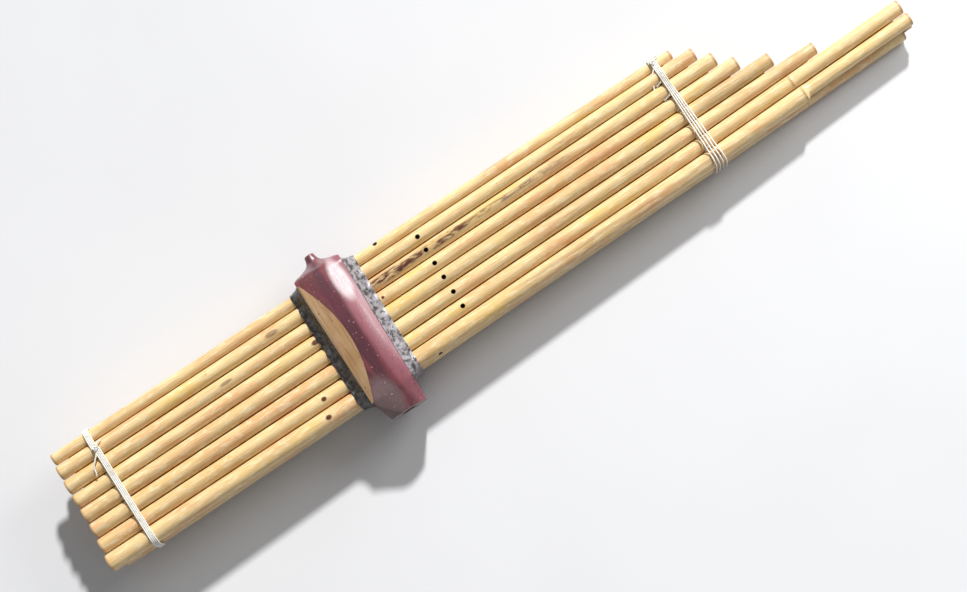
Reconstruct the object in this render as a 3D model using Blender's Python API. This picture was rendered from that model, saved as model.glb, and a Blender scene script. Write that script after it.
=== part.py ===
"""Khaen mouth organ: two rows of eight bamboo reed pipes through a carved wooden wind chest.

Metres, +Z up. The instrument is drawn about the middle of its wind chest: +X runs along the
pipes from feet to tips, +Y points to the nipple and -Y to the blow hole. The left row lies
above the right row. An empty then carries every piece, tips a little down, so that the belly
of the chest and the longest lower tip lie on the ground at z = 0.
"""

import math

import bmesh
import bpy
import numpy as np
from mathutils import Matrix, Vector

# Air between pieces
FIT_GAP = 0.0003
PIPE_GAP = 0.0006
ROW_GAP_AT_CHEST = 0.0012
ROW_GAP_AT_BINDINGS = 0.0005

# Pipes, each tuple from pipe 1 beside the blow hole to pipe 8 beside the nipple
PIPE_FOOT_REACH = (0.2787, 0.2770, 0.2754, 0.2752, 0.2747, 0.2745, 0.2737, 0.2724)
PIPE_TIP_REACH = (0.5302, 0.5286, 0.4503, 0.4143, 0.3892, 0.3754, 0.3637, 0.3474)
PIPE_FOOT_DIAMETER = (0.0158, 0.0140, 0.0140, 0.0138, 0.0130, 0.0134, 0.0132, 0.0106)
PIPE_CHEST_DIAMETER = (0.0150, 0.0138, 0.0142, 0.0144, 0.0130, 0.0124, 0.0128, 0.0104)
PIPE_BINDING_DIAMETER = (0.0154, 0.0130, 0.0132, 0.0132, 0.0128, 0.0128, 0.0120, 0.0086)
PIPE_TOP_DIAMETER = (0.0118, 0.0130, 0.0100, 0.0122, 0.0126, 0.0126, 0.0112, 0.0080)
ROW_EDGE_Y = 0.0550
RIGHT_FOOT_INSET = 0.0095
RIGHT_TIP_INSET = 0.0090

# Right pipe 1 is thicker, has no step, and leans out of its row above the upper binding
RIGHT_FIRST_DIAMETER = (0.0168, 0.0162, 0.0164, 0.0146)
RIGHT_FIRST_LEAN = 0.0030

PIPE_WALL = 0.0018
PIPE_END_ROUNDING = 0.0010
PIPE_SIDES = 20
BORE_SIDES = PIPE_SIDES // 2

# Bamboo joints: a low ridge on pipes 1 and 2, where left pipe 1 also steps down in width
UPPER_JOINT_X = (0.4214, 0.4179)
LOWER_JOINT_X = (-0.0585, -0.0537)
JOINT_HALF_LENGTH = 0.0035
JOINT_RIDGE = 0.0004
WIDTH_BELOW_STEP = 0.0148
WIDTH_ABOVE_STEP = 0.0119

# Finger holes, with their angle from straight out of the row towards the row's own edge
FINGER_HOLE_DIAMETER = 0.0036
FINGER_HOLE_X = 0.0854
THUMB_HOLE_X = 0.0482
THUMB_HOLE_TURN = math.radians(75)
SHOULDER_HOLE_X = 0.0522
SHOULDER_HOLE_TURN = math.radians(45)

# Tuning slots on the inner side of each pipe, stepped from pipe 1 to pipe 8
TUNING_SLOT_LENGTH = 0.014
TUNING_SLOT_WIDTH = 0.0032
UPPER_TUNING_X = 0.300
UPPER_TUNING_STEP = 0.022
LOWER_TUNING_X = -0.200
LOWER_TUNING_STEP = 0.012

# Reeds
TONGUE_LENGTH = 0.0110
TONGUE_WIDTH = 0.0020
TONGUE_THICKNESS = 0.00025
WINDOW_ROOM_X = 0.0010
WINDOW_ROOM_Y = 0.0006
WINDOW_LENGTH = TONGUE_LENGTH + 2 * WINDOW_ROOM_X
WINDOW_WIDTH = TONGUE_WIDTH + 2 * WINDOW_ROOM_Y
FRAME_LAP_X = 0.0015
FRAME_LAP_Y = 0.0007
REED_FRAME_LENGTH = WINDOW_LENGTH + 2 * FRAME_LAP_X
REED_FRAME_WIDTH = WINDOW_WIDTH + 2 * FRAME_LAP_Y
REED_FRAME_THICKNESS = 0.0005
REED_FRAME_SUNK = 0.0001
REED_SEAT_DEPTH = FIT_GAP + REED_FRAME_THICKNESS + REED_FRAME_SUNK

# Wind chest
CHEST_HALF_DEPTH = 0.022
TIP_FACE_AT_MOUTH = 0.0188
SLOT_ROOM_Y = 0.0015
SLOT_ROOM_Z = 0.0026
BELLY_HEIGHT = 0.031
BELLY_STATIONS = 8
SLOT_END_WALL = 0.0043
CREST_X = 0.004
CREST_POWER = 1.8
EDGE_DROP_AT_ENDS = 0.0020
TIP_EDGE_DROP = 0.0065
FOOT_EDGE_DROP = 0.0040
BEVEL_FACE_HEIGHT = 0.0207
BEVEL_ANGLE = math.radians(31)
MOUTH_BLOCK = 0.0204
MOUTH_HEIGHT = 0.0160
MOUTH_EDGE_DROP = 0.0050
MOUTH_FOOT_SIDE = 0.0155
MOUTH_TIP_SIDE = 0.0175
MOUTH_FACET_WIDTH = 0.0130
MOUTH_FACET_DROP = 0.0070
BLOW_HOLE_DIAMETER = 0.0140
BLOW_HOLE_SIDES = 24
NIPPLE_BLOCK = 0.0050
NIPPLE_SHOULDER_HEIGHT = 0.0202
NIPPLE_RADIUS = 0.0042
NIPPLE_PROFILE = (
    (0.0017, 0.0193), (0.0034, 0.0150), (0.0050, 0.0117), (0.0067, 0.0086),
    (0.0084, 0.0067), (0.0100, 0.0057), (0.0152, 0.0044), (0.0158, NIPPLE_RADIUS - 0.0005),
)
BELLY_FLAT_DEPTH = 0.0006
SECTION_POINTS = 14

# Wax
WAX_PLUG_DEPTH = 0.006
WAX_REACH = 0.010
WAX_FLANGE = 0.0019
WAX_SKIN = 0.0011
WAX_VALLEY = 0.0016
WAX_SLOPE = ((0.35, 0.45), (0.70, 0.80), (1.0, 1.0))

# Bindings
CORD_DIAMETER = 0.0014
CORD_TURN_GAP = 0.0006
CORD_CLEARANCE = 0.0006
CORD_POINTS_PER_TURN = 24
CORD_BEND_SHARE = 0.5
HULL_STEPS = 360
LOWER_BINDING_X = -0.2360
LOWER_BINDING_TURNS = 2
LOWER_BINDING_SPREAD = 0.0
LOWER_KNOT_Y = 0.0124
UPPER_BINDING_X = 0.3298
UPPER_BINDING_TURNS = 3
UPPER_BINDING_SPREAD = 0.0012
UPPER_KNOT_Y = 0.0
TAIL_LEAN = math.radians(35)
LONG_TAIL = 0.022
SHORT_TAIL = 0.005

# Packing slip between the two pipes 1
SLIP_START_X = 0.4290
SLIP_END_X = 0.5290
SLIP_THICKNESS = 0.0012
SLIP_WIDTH = 0.0032

LEFT = 1
RIGHT = -1
ROW_NAMES = {LEFT: "left", RIGHT: "right"}
PIPE_NUMBERS = range(1, len(PIPE_TIP_REACH) + 1)

BAMBOO = (
    (0.80, 0.64, 0.38), (0.78, 0.60, 0.33), (0.76, 0.57, 0.33), (0.80, 0.66, 0.42),
    (0.79, 0.63, 0.38), (0.77, 0.58, 0.36), (0.74, 0.53, 0.27), (0.81, 0.67, 0.43),
)
HARDWOOD = (0.24, 0.06, 0.08)
WAX = (0.10, 0.095, 0.09)
BRONZE = (0.62, 0.42, 0.20)
COTTON = (0.86, 0.84, 0.77)
BAMBOO_ROUGHNESS = 0.42
HARDWOOD_ROUGHNESS = 0.30
WAX_ROUGHNESS = 0.40
BRONZE_ROUGHNESS = 0.35
COTTON_ROUGHNESS = 0.85
SHARP_EDGE = math.radians(32)


def clear_scene():
    for obj in list(bpy.data.objects):
        bpy.data.objects.remove(obj, do_unlink=True)


def finish(obj, colour, roughness, metallic=0.0):
    """Gives the object a material of its own and smooth shading between its sharp edges."""
    material = bpy.data.materials.new(obj.name + "_finish")
    material.use_nodes = True
    shader = material.node_tree.nodes["Principled BSDF"]
    shader.inputs["Base Color"].default_value = (*colour, 1.0)
    shader.inputs["Roughness"].default_value = roughness
    shader.inputs["Metallic"].default_value = metallic
    obj.data.materials.append(material)
    if obj.type == "MESH":
        obj.data.shade_smooth()
        obj.data.set_sharp_from_angle(angle=SHARP_EDGE)


def add_piece(name, data, carrier):
    obj = bpy.data.objects.new(name, data)
    bpy.context.scene.collection.objects.link(obj)
    obj.parent = carrier
    return obj


def mesh_from(name, bm):
    """Turns the faces outward and makes the mesh."""
    bmesh.ops.recalc_face_normals(bm, faces=bm.faces)
    mesh = bpy.data.meshes.new(name)
    bm.to_mesh(mesh)
    bm.free()
    return mesh


def loft(rings):
    """One closed body through rings that hold the same number of points."""
    bm = bmesh.new()
    rows = [[bm.verts.new(point) for point in ring] for ring in rings]
    for first, second in zip(rows, rows[1:]):
        join_rings(bm, first, second)
    bm.faces.new(rows[0])
    bm.faces.new(rows[-1])
    return bm


def join_rings(bm, first, second):
    count = len(first)
    for i in range(count):
        j = (i + 1) % count
        bm.faces.new((first[i], first[j], second[j], second[i]))


def block(low, high):
    """A box between two corners."""
    bm = bmesh.new()
    size = Vector(high) - Vector(low)
    middle = (Vector(high) + Vector(low)) / 2
    matrix = Matrix.Translation(middle) @ Matrix.Diagonal((*size, 1.0))
    bmesh.ops.create_cube(bm, size=1.0, matrix=matrix)
    return bm


def rod(start, end, diameter, sides):
    """A round rod from one point to another."""
    way = end - start
    bm = bmesh.new()
    turn = way.to_track_quat("Z", "Y").to_matrix().to_4x4()
    bmesh.ops.create_cone(
        bm, cap_ends=True, segments=sides, depth=way.length,
        radius1=diameter / 2, radius2=diameter / 2,
        matrix=Matrix.Translation((start + end) / 2) @ turn,
    )
    return bm


def cut(obj, name, bm, carrier):
    """Takes the shape away from the object."""
    cutter = add_piece(name, mesh_from(name, bm), carrier)
    cutter.hide_render = True
    cutter.display_type = "WIRE"
    modifier = obj.modifiers.new(name, "BOOLEAN")
    modifier.operation = "DIFFERENCE"
    modifier.solver = "EXACT"
    modifier.object = cutter


def steps_down(row, number):
    return row == LEFT and number == 1


def pipe_diameter(row, number, x):
    """Outside diameter of a pipe at x, straight between the places where it is given."""
    i = number - 1
    stations = [-PIPE_FOOT_REACH[0], 0.0, UPPER_BINDING_X, max(PIPE_TIP_REACH)]
    widths = [each[i] for each in (
        PIPE_FOOT_DIAMETER, PIPE_CHEST_DIAMETER, PIPE_BINDING_DIAMETER, PIPE_TOP_DIAMETER,
    )]
    if row == RIGHT and number == 1:
        widths = RIGHT_FIRST_DIAMETER
    if steps_down(row, number):
        stations[3:3] = [UPPER_JOINT_X[i], UPPER_JOINT_X[i] + JOINT_HALF_LENGTH]
        widths[3:3] = [WIDTH_BELOW_STEP, WIDTH_ABOVE_STEP]
    return float(np.interp(x, stations, widths))


def row_half_gap(x):
    """Half the air between the rows: wax holds them apart in the chest, and cord draws them in."""
    stations = (-PIPE_FOOT_REACH[0], 0.0, UPPER_BINDING_X)
    gaps = (ROW_GAP_AT_BINDINGS, ROW_GAP_AT_CHEST, ROW_GAP_AT_BINDINGS)
    return float(np.interp(x, stations, gaps)) / 2


def pipe_centre(row, number, x):
    """The pipe's axis at x. Pipe 8 lies along the row's edge, and each next pipe beside the last."""
    y = ROW_EDGE_Y
    for beside in range(number + 1, len(PIPE_NUMBERS) + 1):
        y -= pipe_diameter(row, beside, x) + PIPE_GAP
    if row == RIGHT and number == 1:
        y -= float(np.interp(x, (UPPER_BINDING_X, max(PIPE_TIP_REACH)), (0.0, RIGHT_FIRST_LEAN)))
    radius = pipe_diameter(row, number, x) / 2
    return Vector((x, y - radius, row * (row_half_gap(x) + radius)))


def pipe_ends(row, number):
    foot = -PIPE_FOOT_REACH[number - 1]
    tip = PIPE_TIP_REACH[number - 1]
    if row == RIGHT:
        return foot + RIGHT_FOOT_INSET, tip - RIGHT_TIP_INSET
    return foot, tip


def pipe_stations(row, number):
    """(x, inset, ridge) of each outer ring, from the foot to the tip."""
    foot, tip = pipe_ends(row, number)
    stations = [
        (foot, PIPE_END_ROUNDING, 0.0),
        (foot + PIPE_END_ROUNDING, 0.0, 0.0),
        (0.0, 0.0, 0.0),
        (UPPER_BINDING_X, 0.0, 0.0),
        (tip - PIPE_END_ROUNDING, 0.0, 0.0),
        (tip, PIPE_END_ROUNDING, 0.0),
    ]
    if number <= len(UPPER_JOINT_X):
        for x in (LOWER_JOINT_X[number - 1], UPPER_JOINT_X[number - 1]):
            stations.append((x - JOINT_HALF_LENGTH, 0.0, 0.0))
            stations.append((x, 0.0, JOINT_RIDGE))
            stations.append((x + JOINT_HALF_LENGTH, 0.0, 0.0))
    return sorted(stations)


def circle(centre, radius, sides, ridge=0.0, outward=LEFT):
    """A ring across X. A ridge rises only on the side that faces out of the row."""
    ring = []
    for i in range(sides):
        angle = 2 * math.pi * i / sides
        reach = radius + ridge * max(0.0, outward * math.sin(angle))
        ring.append(centre + Vector((0.0, reach * math.cos(angle), reach * math.sin(angle))))
    return ring


def pipe_body(row, number):
    """The pipe's wall: outer rings, and a bore of half as many sides through both ends."""
    outer = []
    for x, inset, ridge in pipe_stations(row, number):
        radius = pipe_diameter(row, number, x) / 2 - inset
        outer.append(circle(pipe_centre(row, number, x), radius, PIPE_SIDES, ridge, row))
    foot, tip = pipe_ends(row, number)
    stations = [foot, 0.0, UPPER_BINDING_X, tip]
    if steps_down(row, number):
        stations[3:3] = [UPPER_JOINT_X[0], UPPER_JOINT_X[0] + JOINT_HALF_LENGTH]
    bore = []
    for x in stations:
        radius = pipe_diameter(row, number, x) / 2 - PIPE_WALL
        bore.append(circle(pipe_centre(row, number, x), radius, BORE_SIDES))
    bm = bmesh.new()
    outer_rows = [[bm.verts.new(point) for point in ring] for ring in outer]
    bore_rows = [[bm.verts.new(point) for point in ring] for ring in bore]
    for rows in (outer_rows, bore_rows):
        for first, second in zip(rows, rows[1:]):
            join_rings(bm, first, second)
    for end in (0, -1):
        close_end(bm, outer_rows[end], bore_rows[end])
    return bm


def close_end(bm, outer, bore):
    """The flat end of the wall, between a ring and a bore ring of half as many points."""
    for i, inner in enumerate(bore):
        following = bore[(i + 1) % len(bore)]
        middle = outer[2 * i + 1]
        bm.faces.new((outer[2 * i], middle, inner))
        bm.faces.new((inner, middle, following))
        bm.faces.new((middle, outer[(2 * i + 2) % len(outer)], following))


def crown(row, number, x):
    """Height of the pipe's outermost line, away from the other row."""
    return row * (row_half_gap(x) + pipe_diameter(row, number, x))


def finger_hole(row, number):
    """(x, turn) of the pipe's finger hole; the turn is towards +Y."""
    if number == PIPE_NUMBERS[0]:
        return THUMB_HOLE_X, -THUMB_HOLE_TURN
    if number == PIPE_NUMBERS[-1]:
        return SHOULDER_HOLE_X, SHOULDER_HOLE_TURN
    return FINGER_HOLE_X, 0.0


def build_pipe(row, number, carrier):
    name = f"{ROW_NAMES[row]}_pipe_{number}"
    pipe = add_piece(name, mesh_from(name, pipe_body(row, number)), carrier)
    finish(pipe, BAMBOO[number - 1], BAMBOO_ROUGHNESS)

    centre = pipe_centre(row, number, 0.0)
    radius = pipe_diameter(row, number, 0.0) / 2
    seat = REED_FRAME_LENGTH / 2 + FIT_GAP
    seat_z = crown(row, number, 0.0) - row * REED_SEAT_DEPTH
    low, high = sorted((seat_z, seat_z + row * 2 * radius))
    shape = block((-seat, centre.y - 2 * radius, low), (seat, centre.y + 2 * radius, high))
    cut(pipe, name + "_reed_seat", shape, carrier)

    low, high = sorted((centre.z, seat_z + row * radius))
    window = WINDOW_WIDTH / 2
    shape = block(
        (-WINDOW_LENGTH / 2, centre.y - window, low),
        (WINDOW_LENGTH / 2, centre.y + window, high),
    )
    cut(pipe, name + "_reed_window", shape, carrier)

    hole_x, turn = finger_hole(row, number)
    centre = pipe_centre(row, number, hole_x)
    radius = pipe_diameter(row, number, hole_x) / 2
    way = Vector((0.0, math.sin(turn), row * math.cos(turn)))
    drill = rod(centre, centre + way * 2 * radius, FINGER_HOLE_DIAMETER, BORE_SIDES)
    cut(pipe, name + "_finger_hole", drill, carrier)

    for place, first, step in (
        ("upper", UPPER_TUNING_X, -UPPER_TUNING_STEP),
        ("lower", LOWER_TUNING_X, LOWER_TUNING_STEP),
    ):
        x = first + step * (number - 1)
        centre = pipe_centre(row, number, x)
        radius = pipe_diameter(row, number, x) / 2
        low, high = sorted((centre.z, centre.z - row * 2 * radius))
        shape = block(
            (x - TUNING_SLOT_LENGTH / 2, centre.y - TUNING_SLOT_WIDTH / 2, low),
            (x + TUNING_SLOT_LENGTH / 2, centre.y + TUNING_SLOT_WIDTH / 2, high),
        )
        cut(pipe, f"{name}_{place}_tuning_slot", shape, carrier)


def rectangle(bm, half_length, half_width, z):
    corners = ((-1, -1), (1, -1), (1, 1), (-1, 1))
    return [bm.verts.new((a * half_length, b * half_width, z)) for a, b in corners]


def build_reed(row, number, carrier):
    """The frame lies on the pipe's seat; the tongue's origin is on its root, where it bends."""
    centre = pipe_centre(row, number, 0.0)
    seat_z = crown(row, number, 0.0) - row * REED_SEAT_DEPTH
    frame_z = seat_z + row * (FIT_GAP + REED_FRAME_THICKNESS / 2)
    stem = f"{ROW_NAMES[row]}_reed"

    slot_half_length = TONGUE_LENGTH / 2 + FIT_GAP
    slot_half_width = TONGUE_WIDTH / 2 + FIT_GAP
    bm = bmesh.new()
    rings = []
    for length, width, z in (
        (REED_FRAME_LENGTH / 2, REED_FRAME_WIDTH / 2, -REED_FRAME_THICKNESS / 2),
        (REED_FRAME_LENGTH / 2, REED_FRAME_WIDTH / 2, REED_FRAME_THICKNESS / 2),
        (slot_half_length, slot_half_width, REED_FRAME_THICKNESS / 2),
        (slot_half_length, slot_half_width, -REED_FRAME_THICKNESS / 2),
    ):
        rings.append(rectangle(bm, length, width, z))
    for first, second in zip(rings, rings[1:] + rings[:1]):
        join_rings(bm, first, second)
    name = f"{stem}_frame_{number}"
    frame = add_piece(name, mesh_from(name, bm), carrier)
    frame.location = (0.0, centre.y, frame_z)
    finish(frame, BRONZE, BRONZE_ROUGHNESS, 1.0)

    name = f"{stem}_tongue_{number}"
    half = Vector((0.0, TONGUE_WIDTH / 2, TONGUE_THICKNESS / 2))
    shape = block(-half, half + Vector((TONGUE_LENGTH, 0.0, 0.0)))
    tongue = add_piece(name, mesh_from(name, shape), carrier)
    tongue.location = (-TONGUE_LENGTH / 2, centre.y, frame_z)
    finish(tongue, BRONZE, BRONZE_ROUGHNESS, 1.0)


def slot_limits():
    """Lowest and highest Y of the slot, and its half height, all clear of the pipes."""
    edges = []
    heights = []
    for row in (LEFT, RIGHT):
        edges.append(pipe_centre(row, 1, 0.0).y - pipe_diameter(row, 1, 0.0) / 2)
        heights += [abs(crown(row, number, 0.0)) for number in PIPE_NUMBERS]
    return min(edges) - SLOT_ROOM_Y, ROW_EDGE_Y + SLOT_ROOM_Y, max(heights) + SLOT_ROOM_Z


def chest_face(side, y):
    """X of the chest's flat side at y. The tip side draws in towards the mouth."""
    if side < 0:
        return -CHEST_HALF_DEPTH
    low, high, slot_height = slot_limits()
    return float(np.interp(y, (low, high), (TIP_FACE_AT_MOUTH, CHEST_HALF_DEPTH)))


def chest_outline(y):
    """Crest height, height at the foot edge and at the tip edge, and X of both edges, at y."""
    low, high, slot_height = slot_limits()
    wall_height = slot_height + SLOT_END_WALL
    across = (2 * y - low - high) / (high - low)
    swell = max(0.0, 1 - across * across)
    crest = wall_height + (BELLY_HEIGHT - wall_height) * swell
    foot_drop = EDGE_DROP_AT_ENDS + (FOOT_EDGE_DROP - EDGE_DROP_AT_ENDS) * swell
    tip_drop = EDGE_DROP_AT_ENDS + (TIP_EDGE_DROP - EDGE_DROP_AT_ENDS) * swell
    foot_x = chest_face(-1, y)
    tip_x = chest_face(1, y)
    if y < low:
        along = (low - y) / MOUTH_BLOCK
        crest += (MOUTH_HEIGHT - crest) * along
        foot_drop += (MOUTH_EDGE_DROP - foot_drop) * along
        tip_drop += (MOUTH_EDGE_DROP - tip_drop) * along
        foot_x += (-MOUTH_FOOT_SIDE - foot_x) * along
        tip_x += (MOUTH_TIP_SIDE - tip_x) * along
    if y > high:
        crest += (NIPPLE_SHOULDER_HEIGHT - crest) * (y - high) / NIPPLE_BLOCK
    return crest, crest - foot_drop, crest - tip_drop, foot_x, tip_x


def chest_section(y):
    """Ring round the chest at y: two flat sides, with a rounded crest above and below."""
    crest, foot_height, tip_height, foot_x, tip_x = chest_outline(y)
    upper = []
    for i in range(SECTION_POINTS):
        turn = math.pi * i / (SECTION_POINTS - 1)
        x = (foot_x + tip_x) / 2 - (tip_x - foot_x) / 2 * math.cos(turn)
        edge_x, edge_height = (foot_x, foot_height) if x < CREST_X else (tip_x, tip_height)
        away = abs((x - CREST_X) / (edge_x - CREST_X))
        upper.append(Vector((x, y, crest - (crest - edge_height) * away ** CREST_POWER)))
    lower = [Vector((point.x, point.y, -point.z)) for point in reversed(upper)]
    return upper + lower


def nipple_section(shoulder, rise, half_width):
    """Ring beyond the chest's shoulder: its outline drawn in, and rounder as it narrows."""
    share = (CHEST_HALF_DEPTH - half_width) / (CHEST_HALF_DEPTH - NIPPLE_RADIUS)
    ring = []
    for i, point in enumerate(shoulder):
        turn = math.pi - 2 * math.pi * (i + 0.5) / len(shoulder)
        small = point * (half_width / CHEST_HALF_DEPTH)
        round_end = Vector((math.cos(turn), 0.0, math.sin(turn))) * half_width
        blended = small.lerp(round_end, min(1.0, share * share))
        ring.append(Vector((blended.x, point.y + rise, blended.z)))
    return ring


def plane_cutter(point, along, across, reach):
    """A box whose one face lies on the plane through the point, and which fills its outer side."""
    along = along.normalized()
    normal = along.cross(across).normalized()
    across = normal.cross(along)
    turn = Matrix((along, across, normal)).transposed().to_4x4()
    bm = block((-reach, -reach, 0.0), (reach, reach, reach))
    bmesh.ops.transform(bm, matrix=Matrix.Translation(point) @ turn, verts=bm.verts)
    return bm


def rest_slope():
    """Steepest slope of the ground under the belly that stays clear of every lower pipe and cord."""
    slopes = []
    for number in PIPE_NUMBERS:
        for x, inset, ridge in pipe_stations(RIGHT, number):
            if x > CHEST_HALF_DEPTH:
                depth = abs(crown(RIGHT, number, x)) - inset + ridge
                slopes.append((BELLY_HEIGHT - BELLY_FLAT_DEPTH - depth) / (x - CREST_X))
        depth = abs(crown(RIGHT, number, UPPER_BINDING_X))
        depth += CORD_CLEARANCE + CORD_DIAMETER + FIT_GAP
        slopes.append((BELLY_HEIGHT - BELLY_FLAT_DEPTH - depth) / (UPPER_BINDING_X - CREST_X))
    return min(slopes)


def build_chest(carrier):
    low, high, slot_height = slot_limits()
    mouth_y = low - MOUTH_BLOCK
    shoulder_y = high + NIPPLE_BLOCK
    stations = [mouth_y, low - MOUTH_BLOCK / 2]
    stations += np.linspace(low, high, BELLY_STATIONS + 1).tolist()
    stations.append(shoulder_y)
    rings = [chest_section(y) for y in stations]
    shoulder = rings[-1]
    rings += [nipple_section(shoulder, rise, width) for rise, width in NIPPLE_PROFILE]
    chest = add_piece("wind_chest", mesh_from("wind_chest", loft(rings)), carrier)
    finish(chest, HARDWOOD, HARDWOOD_ROUGHNESS)

    along = Vector((math.cos(BEVEL_ANGLE), 0.0, math.sin(BEVEL_ANGLE)))
    across = Vector((0.0, 1.0, 0.0))
    reach = shoulder_y - mouth_y
    for side, name in ((LEFT, "upper_bevel"), (RIGHT, "lower_bevel")):
        point = Vector((-CHEST_HALF_DEPTH, 0.0, side * BEVEL_FACE_HEIGHT))
        edge = Vector((along.x, 0.0, side * along.z))
        cut(chest, name, plane_cutter(point, edge, across * side, reach), carrier)

    for side, name in ((LEFT, "upper_mouth_facet"), (RIGHT, "lower_mouth_facet")):
        corner = chest_section(low)[0]
        start = Vector((corner.x, corner.y, side * corner.z))
        outer_x = -MOUTH_FOOT_SIDE
        facet_z = MOUTH_HEIGHT - MOUTH_FACET_DROP
        outer = Vector((outer_x, mouth_y, side * facet_z))
        inner = Vector((outer_x + MOUTH_FACET_WIDTH, mouth_y, side * MOUTH_HEIGHT))
        shape = plane_cutter(outer, inner - outer, (start - outer) * side, reach)
        cut(chest, name, shape, carrier)

    slot = block((-reach, low, -slot_height), (reach, high, slot_height))
    cut(chest, "pipe_slot", slot, carrier)

    start = Vector((0.0, mouth_y - MOUTH_BLOCK / 2, 0.0))
    end = Vector((0.0, low + SLOT_ROOM_Y / 2, 0.0))
    cut(chest, "blow_hole", rod(start, end, BLOW_HOLE_DIAMETER, BLOW_HOLE_SIDES), carrier)

    slope = rest_slope()
    point = Vector((CREST_X, 0.0, BELLY_FLAT_DEPTH - BELLY_HEIGHT))
    ground = plane_cutter(point, Vector((-1.0, 0.0, -slope)), across, reach)
    cut(chest, "belly_flat", ground, carrier)
    return slope


def bundle_hull(x, offset):
    """(y, z) round both rows at x, as a cord pulled tight at this offset would lie."""
    circles = []
    for row in (LEFT, RIGHT):
        for number in PIPE_NUMBERS:
            centre = pipe_centre(row, number, x)
            circles.append((centre.y, centre.z, pipe_diameter(row, number, x) / 2 + offset))
    hull = []
    for i in range(HULL_STEPS):
        turn = 2 * math.pi * i / HULL_STEPS
        cosine, sine = math.cos(turn), math.sin(turn)
        y, z, radius = max(circles, key=lambda c: c[0] * cosine + c[1] * sine + c[2])
        hull.append((y + radius * cosine, z + radius * sine))
    return hull


def even_loop(hull, count, knot_y, side):
    """Points round the hull from the knot on, spread evenly over its length and its bends."""
    closed = hull + hull[:1]
    steps = [math.dist(a, b) for a, b in zip(closed, closed[1:])]
    reached = [0.0]
    for step in steps:
        by_bend = CORD_BEND_SHARE / len(steps)
        by_length = (1 - CORD_BEND_SHARE) * step / sum(steps)
        reached.append(reached[-1] + by_bend + by_length)
    knot = 0.0
    for (a, b), low, high in zip(zip(closed, closed[1:]), reached, reached[1:]):
        if side * a[1] > 0 and (a[0] - knot_y) * (b[0] - knot_y) < 0:
            knot = low + (high - low) * (knot_y - a[0]) / (b[0] - a[0])
    places = [(knot - i / count) % 1.0 for i in range(count)]
    ys = np.interp(places, reached, [point[0] for point in closed])
    zs = np.interp(places, reached, [point[1] for point in closed])
    return list(zip(ys.tolist(), zs.tolist()))


def winding(x, turns, spread, knot_y, side):
    """Path of a cord wound round both rows, from one tail to the other."""
    hull = bundle_hull(x, CORD_CLEARANCE + CORD_DIAMETER / 2)
    loop = even_loop(hull, CORD_POINTS_PER_TURN, knot_y, side)
    nipple_side = max(y for y, z in loop)
    width = nipple_side - min(y for y, z in loop)
    path = []
    for i in range(turns * CORD_POINTS_PER_TURN + 1):
        y, z = loop[i % CORD_POINTS_PER_TURN]
        step = CORD_DIAMETER + CORD_TURN_GAP + spread * (nipple_side - y) / width
        path.append(Vector((x + step * (i / CORD_POINTS_PER_TURN - turns / 2), y, z)))
    travel = (path[1] - path[0]).normalized()
    lean = Vector((math.sin(TAIL_LEAN), 0.0, 0.0))
    path.insert(0, path[0] - (travel * math.cos(TAIL_LEAN) + lean) * LONG_TAIL)
    path.append(path[-1] + (travel * math.cos(TAIL_LEAN) + lean) * SHORT_TAIL)
    return path


def least_gap(path, diameter):
    """Least air between stretches of the tube that lie beside each other.

    Stretches less than four diameters apart along the tube are the same bend, not neighbours.
    """
    samples = []
    for a, b in zip(path, path[1:]):
        count = math.ceil((b - a).length / (diameter / 2))
        samples += [a.lerp(b, i / count) for i in range(count)]
    points = np.array(samples)
    steps = np.linalg.norm(np.diff(points, axis=0), axis=1)
    along = np.concatenate(([0.0], np.cumsum(steps)))
    apart = np.linalg.norm(points[:, None] - points[None, :], axis=2)
    apart[np.abs(along[:, None] - along[None, :]) < 4 * diameter] = np.inf
    return float(apart.min()) - diameter


def build_binding(name, path, carrier):
    """One unbroken tube with its turns."""
    curve = bpy.data.curves.new(name, "CURVE")
    curve.dimensions = "3D"
    curve.bevel_depth = CORD_DIAMETER / 2
    curve.bevel_resolution = 1
    curve.use_fill_caps = True
    spline = curve.splines.new("POLY")
    spline.points.add(len(path) - 1)
    for point, place in zip(spline.points, path):
        point.co = (*place, 1.0)
    binding = add_piece(name, curve, carrier)
    finish(binding, COTTON, COTTON_ROUGHNESS)
    length = sum((b - a).length for a, b in zip(path, path[1:]))
    gap = least_gap(path, CORD_DIAMETER)
    print(f"{name}: {length:.3f} m of cord, least gap to itself {gap * 1000:.2f} mm")


def hugging_half(row, x):
    """(y, z) round one row of pipes at x, a wax skin above them, from nipple side to mouth side."""
    crest = []
    for number in reversed(PIPE_NUMBERS):
        centre = pipe_centre(row, number, x)
        radius = pipe_diameter(row, number, x) / 2
        top = abs(centre.z) + radius + WAX_SKIN
        if crest:
            valley = centre.y + radius + PIPE_GAP / 2
            crest.append((valley, min(top, crest[-1][1]) - WAX_VALLEY))
        crest.append((centre.y, top))
    sides = []
    for number, outward in ((PIPE_NUMBERS[-1], 1), (PIPE_NUMBERS[0], -1)):
        centre = pipe_centre(row, number, x)
        reach = pipe_diameter(row, number, x) / 2 + WAX_SKIN
        slant = reach * math.sqrt(0.5)
        sides.append([
            (centre.y + outward * (reach - WAX_VALLEY), 0.0),
            (centre.y + outward * reach, abs(centre.z)),
            (centre.y + outward * slant, abs(centre.z) + slant),
        ])
    nipple, mouth = sides
    return [(y, row * z) for y, z in nipple + crest + mouth[::-1]]


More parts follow.
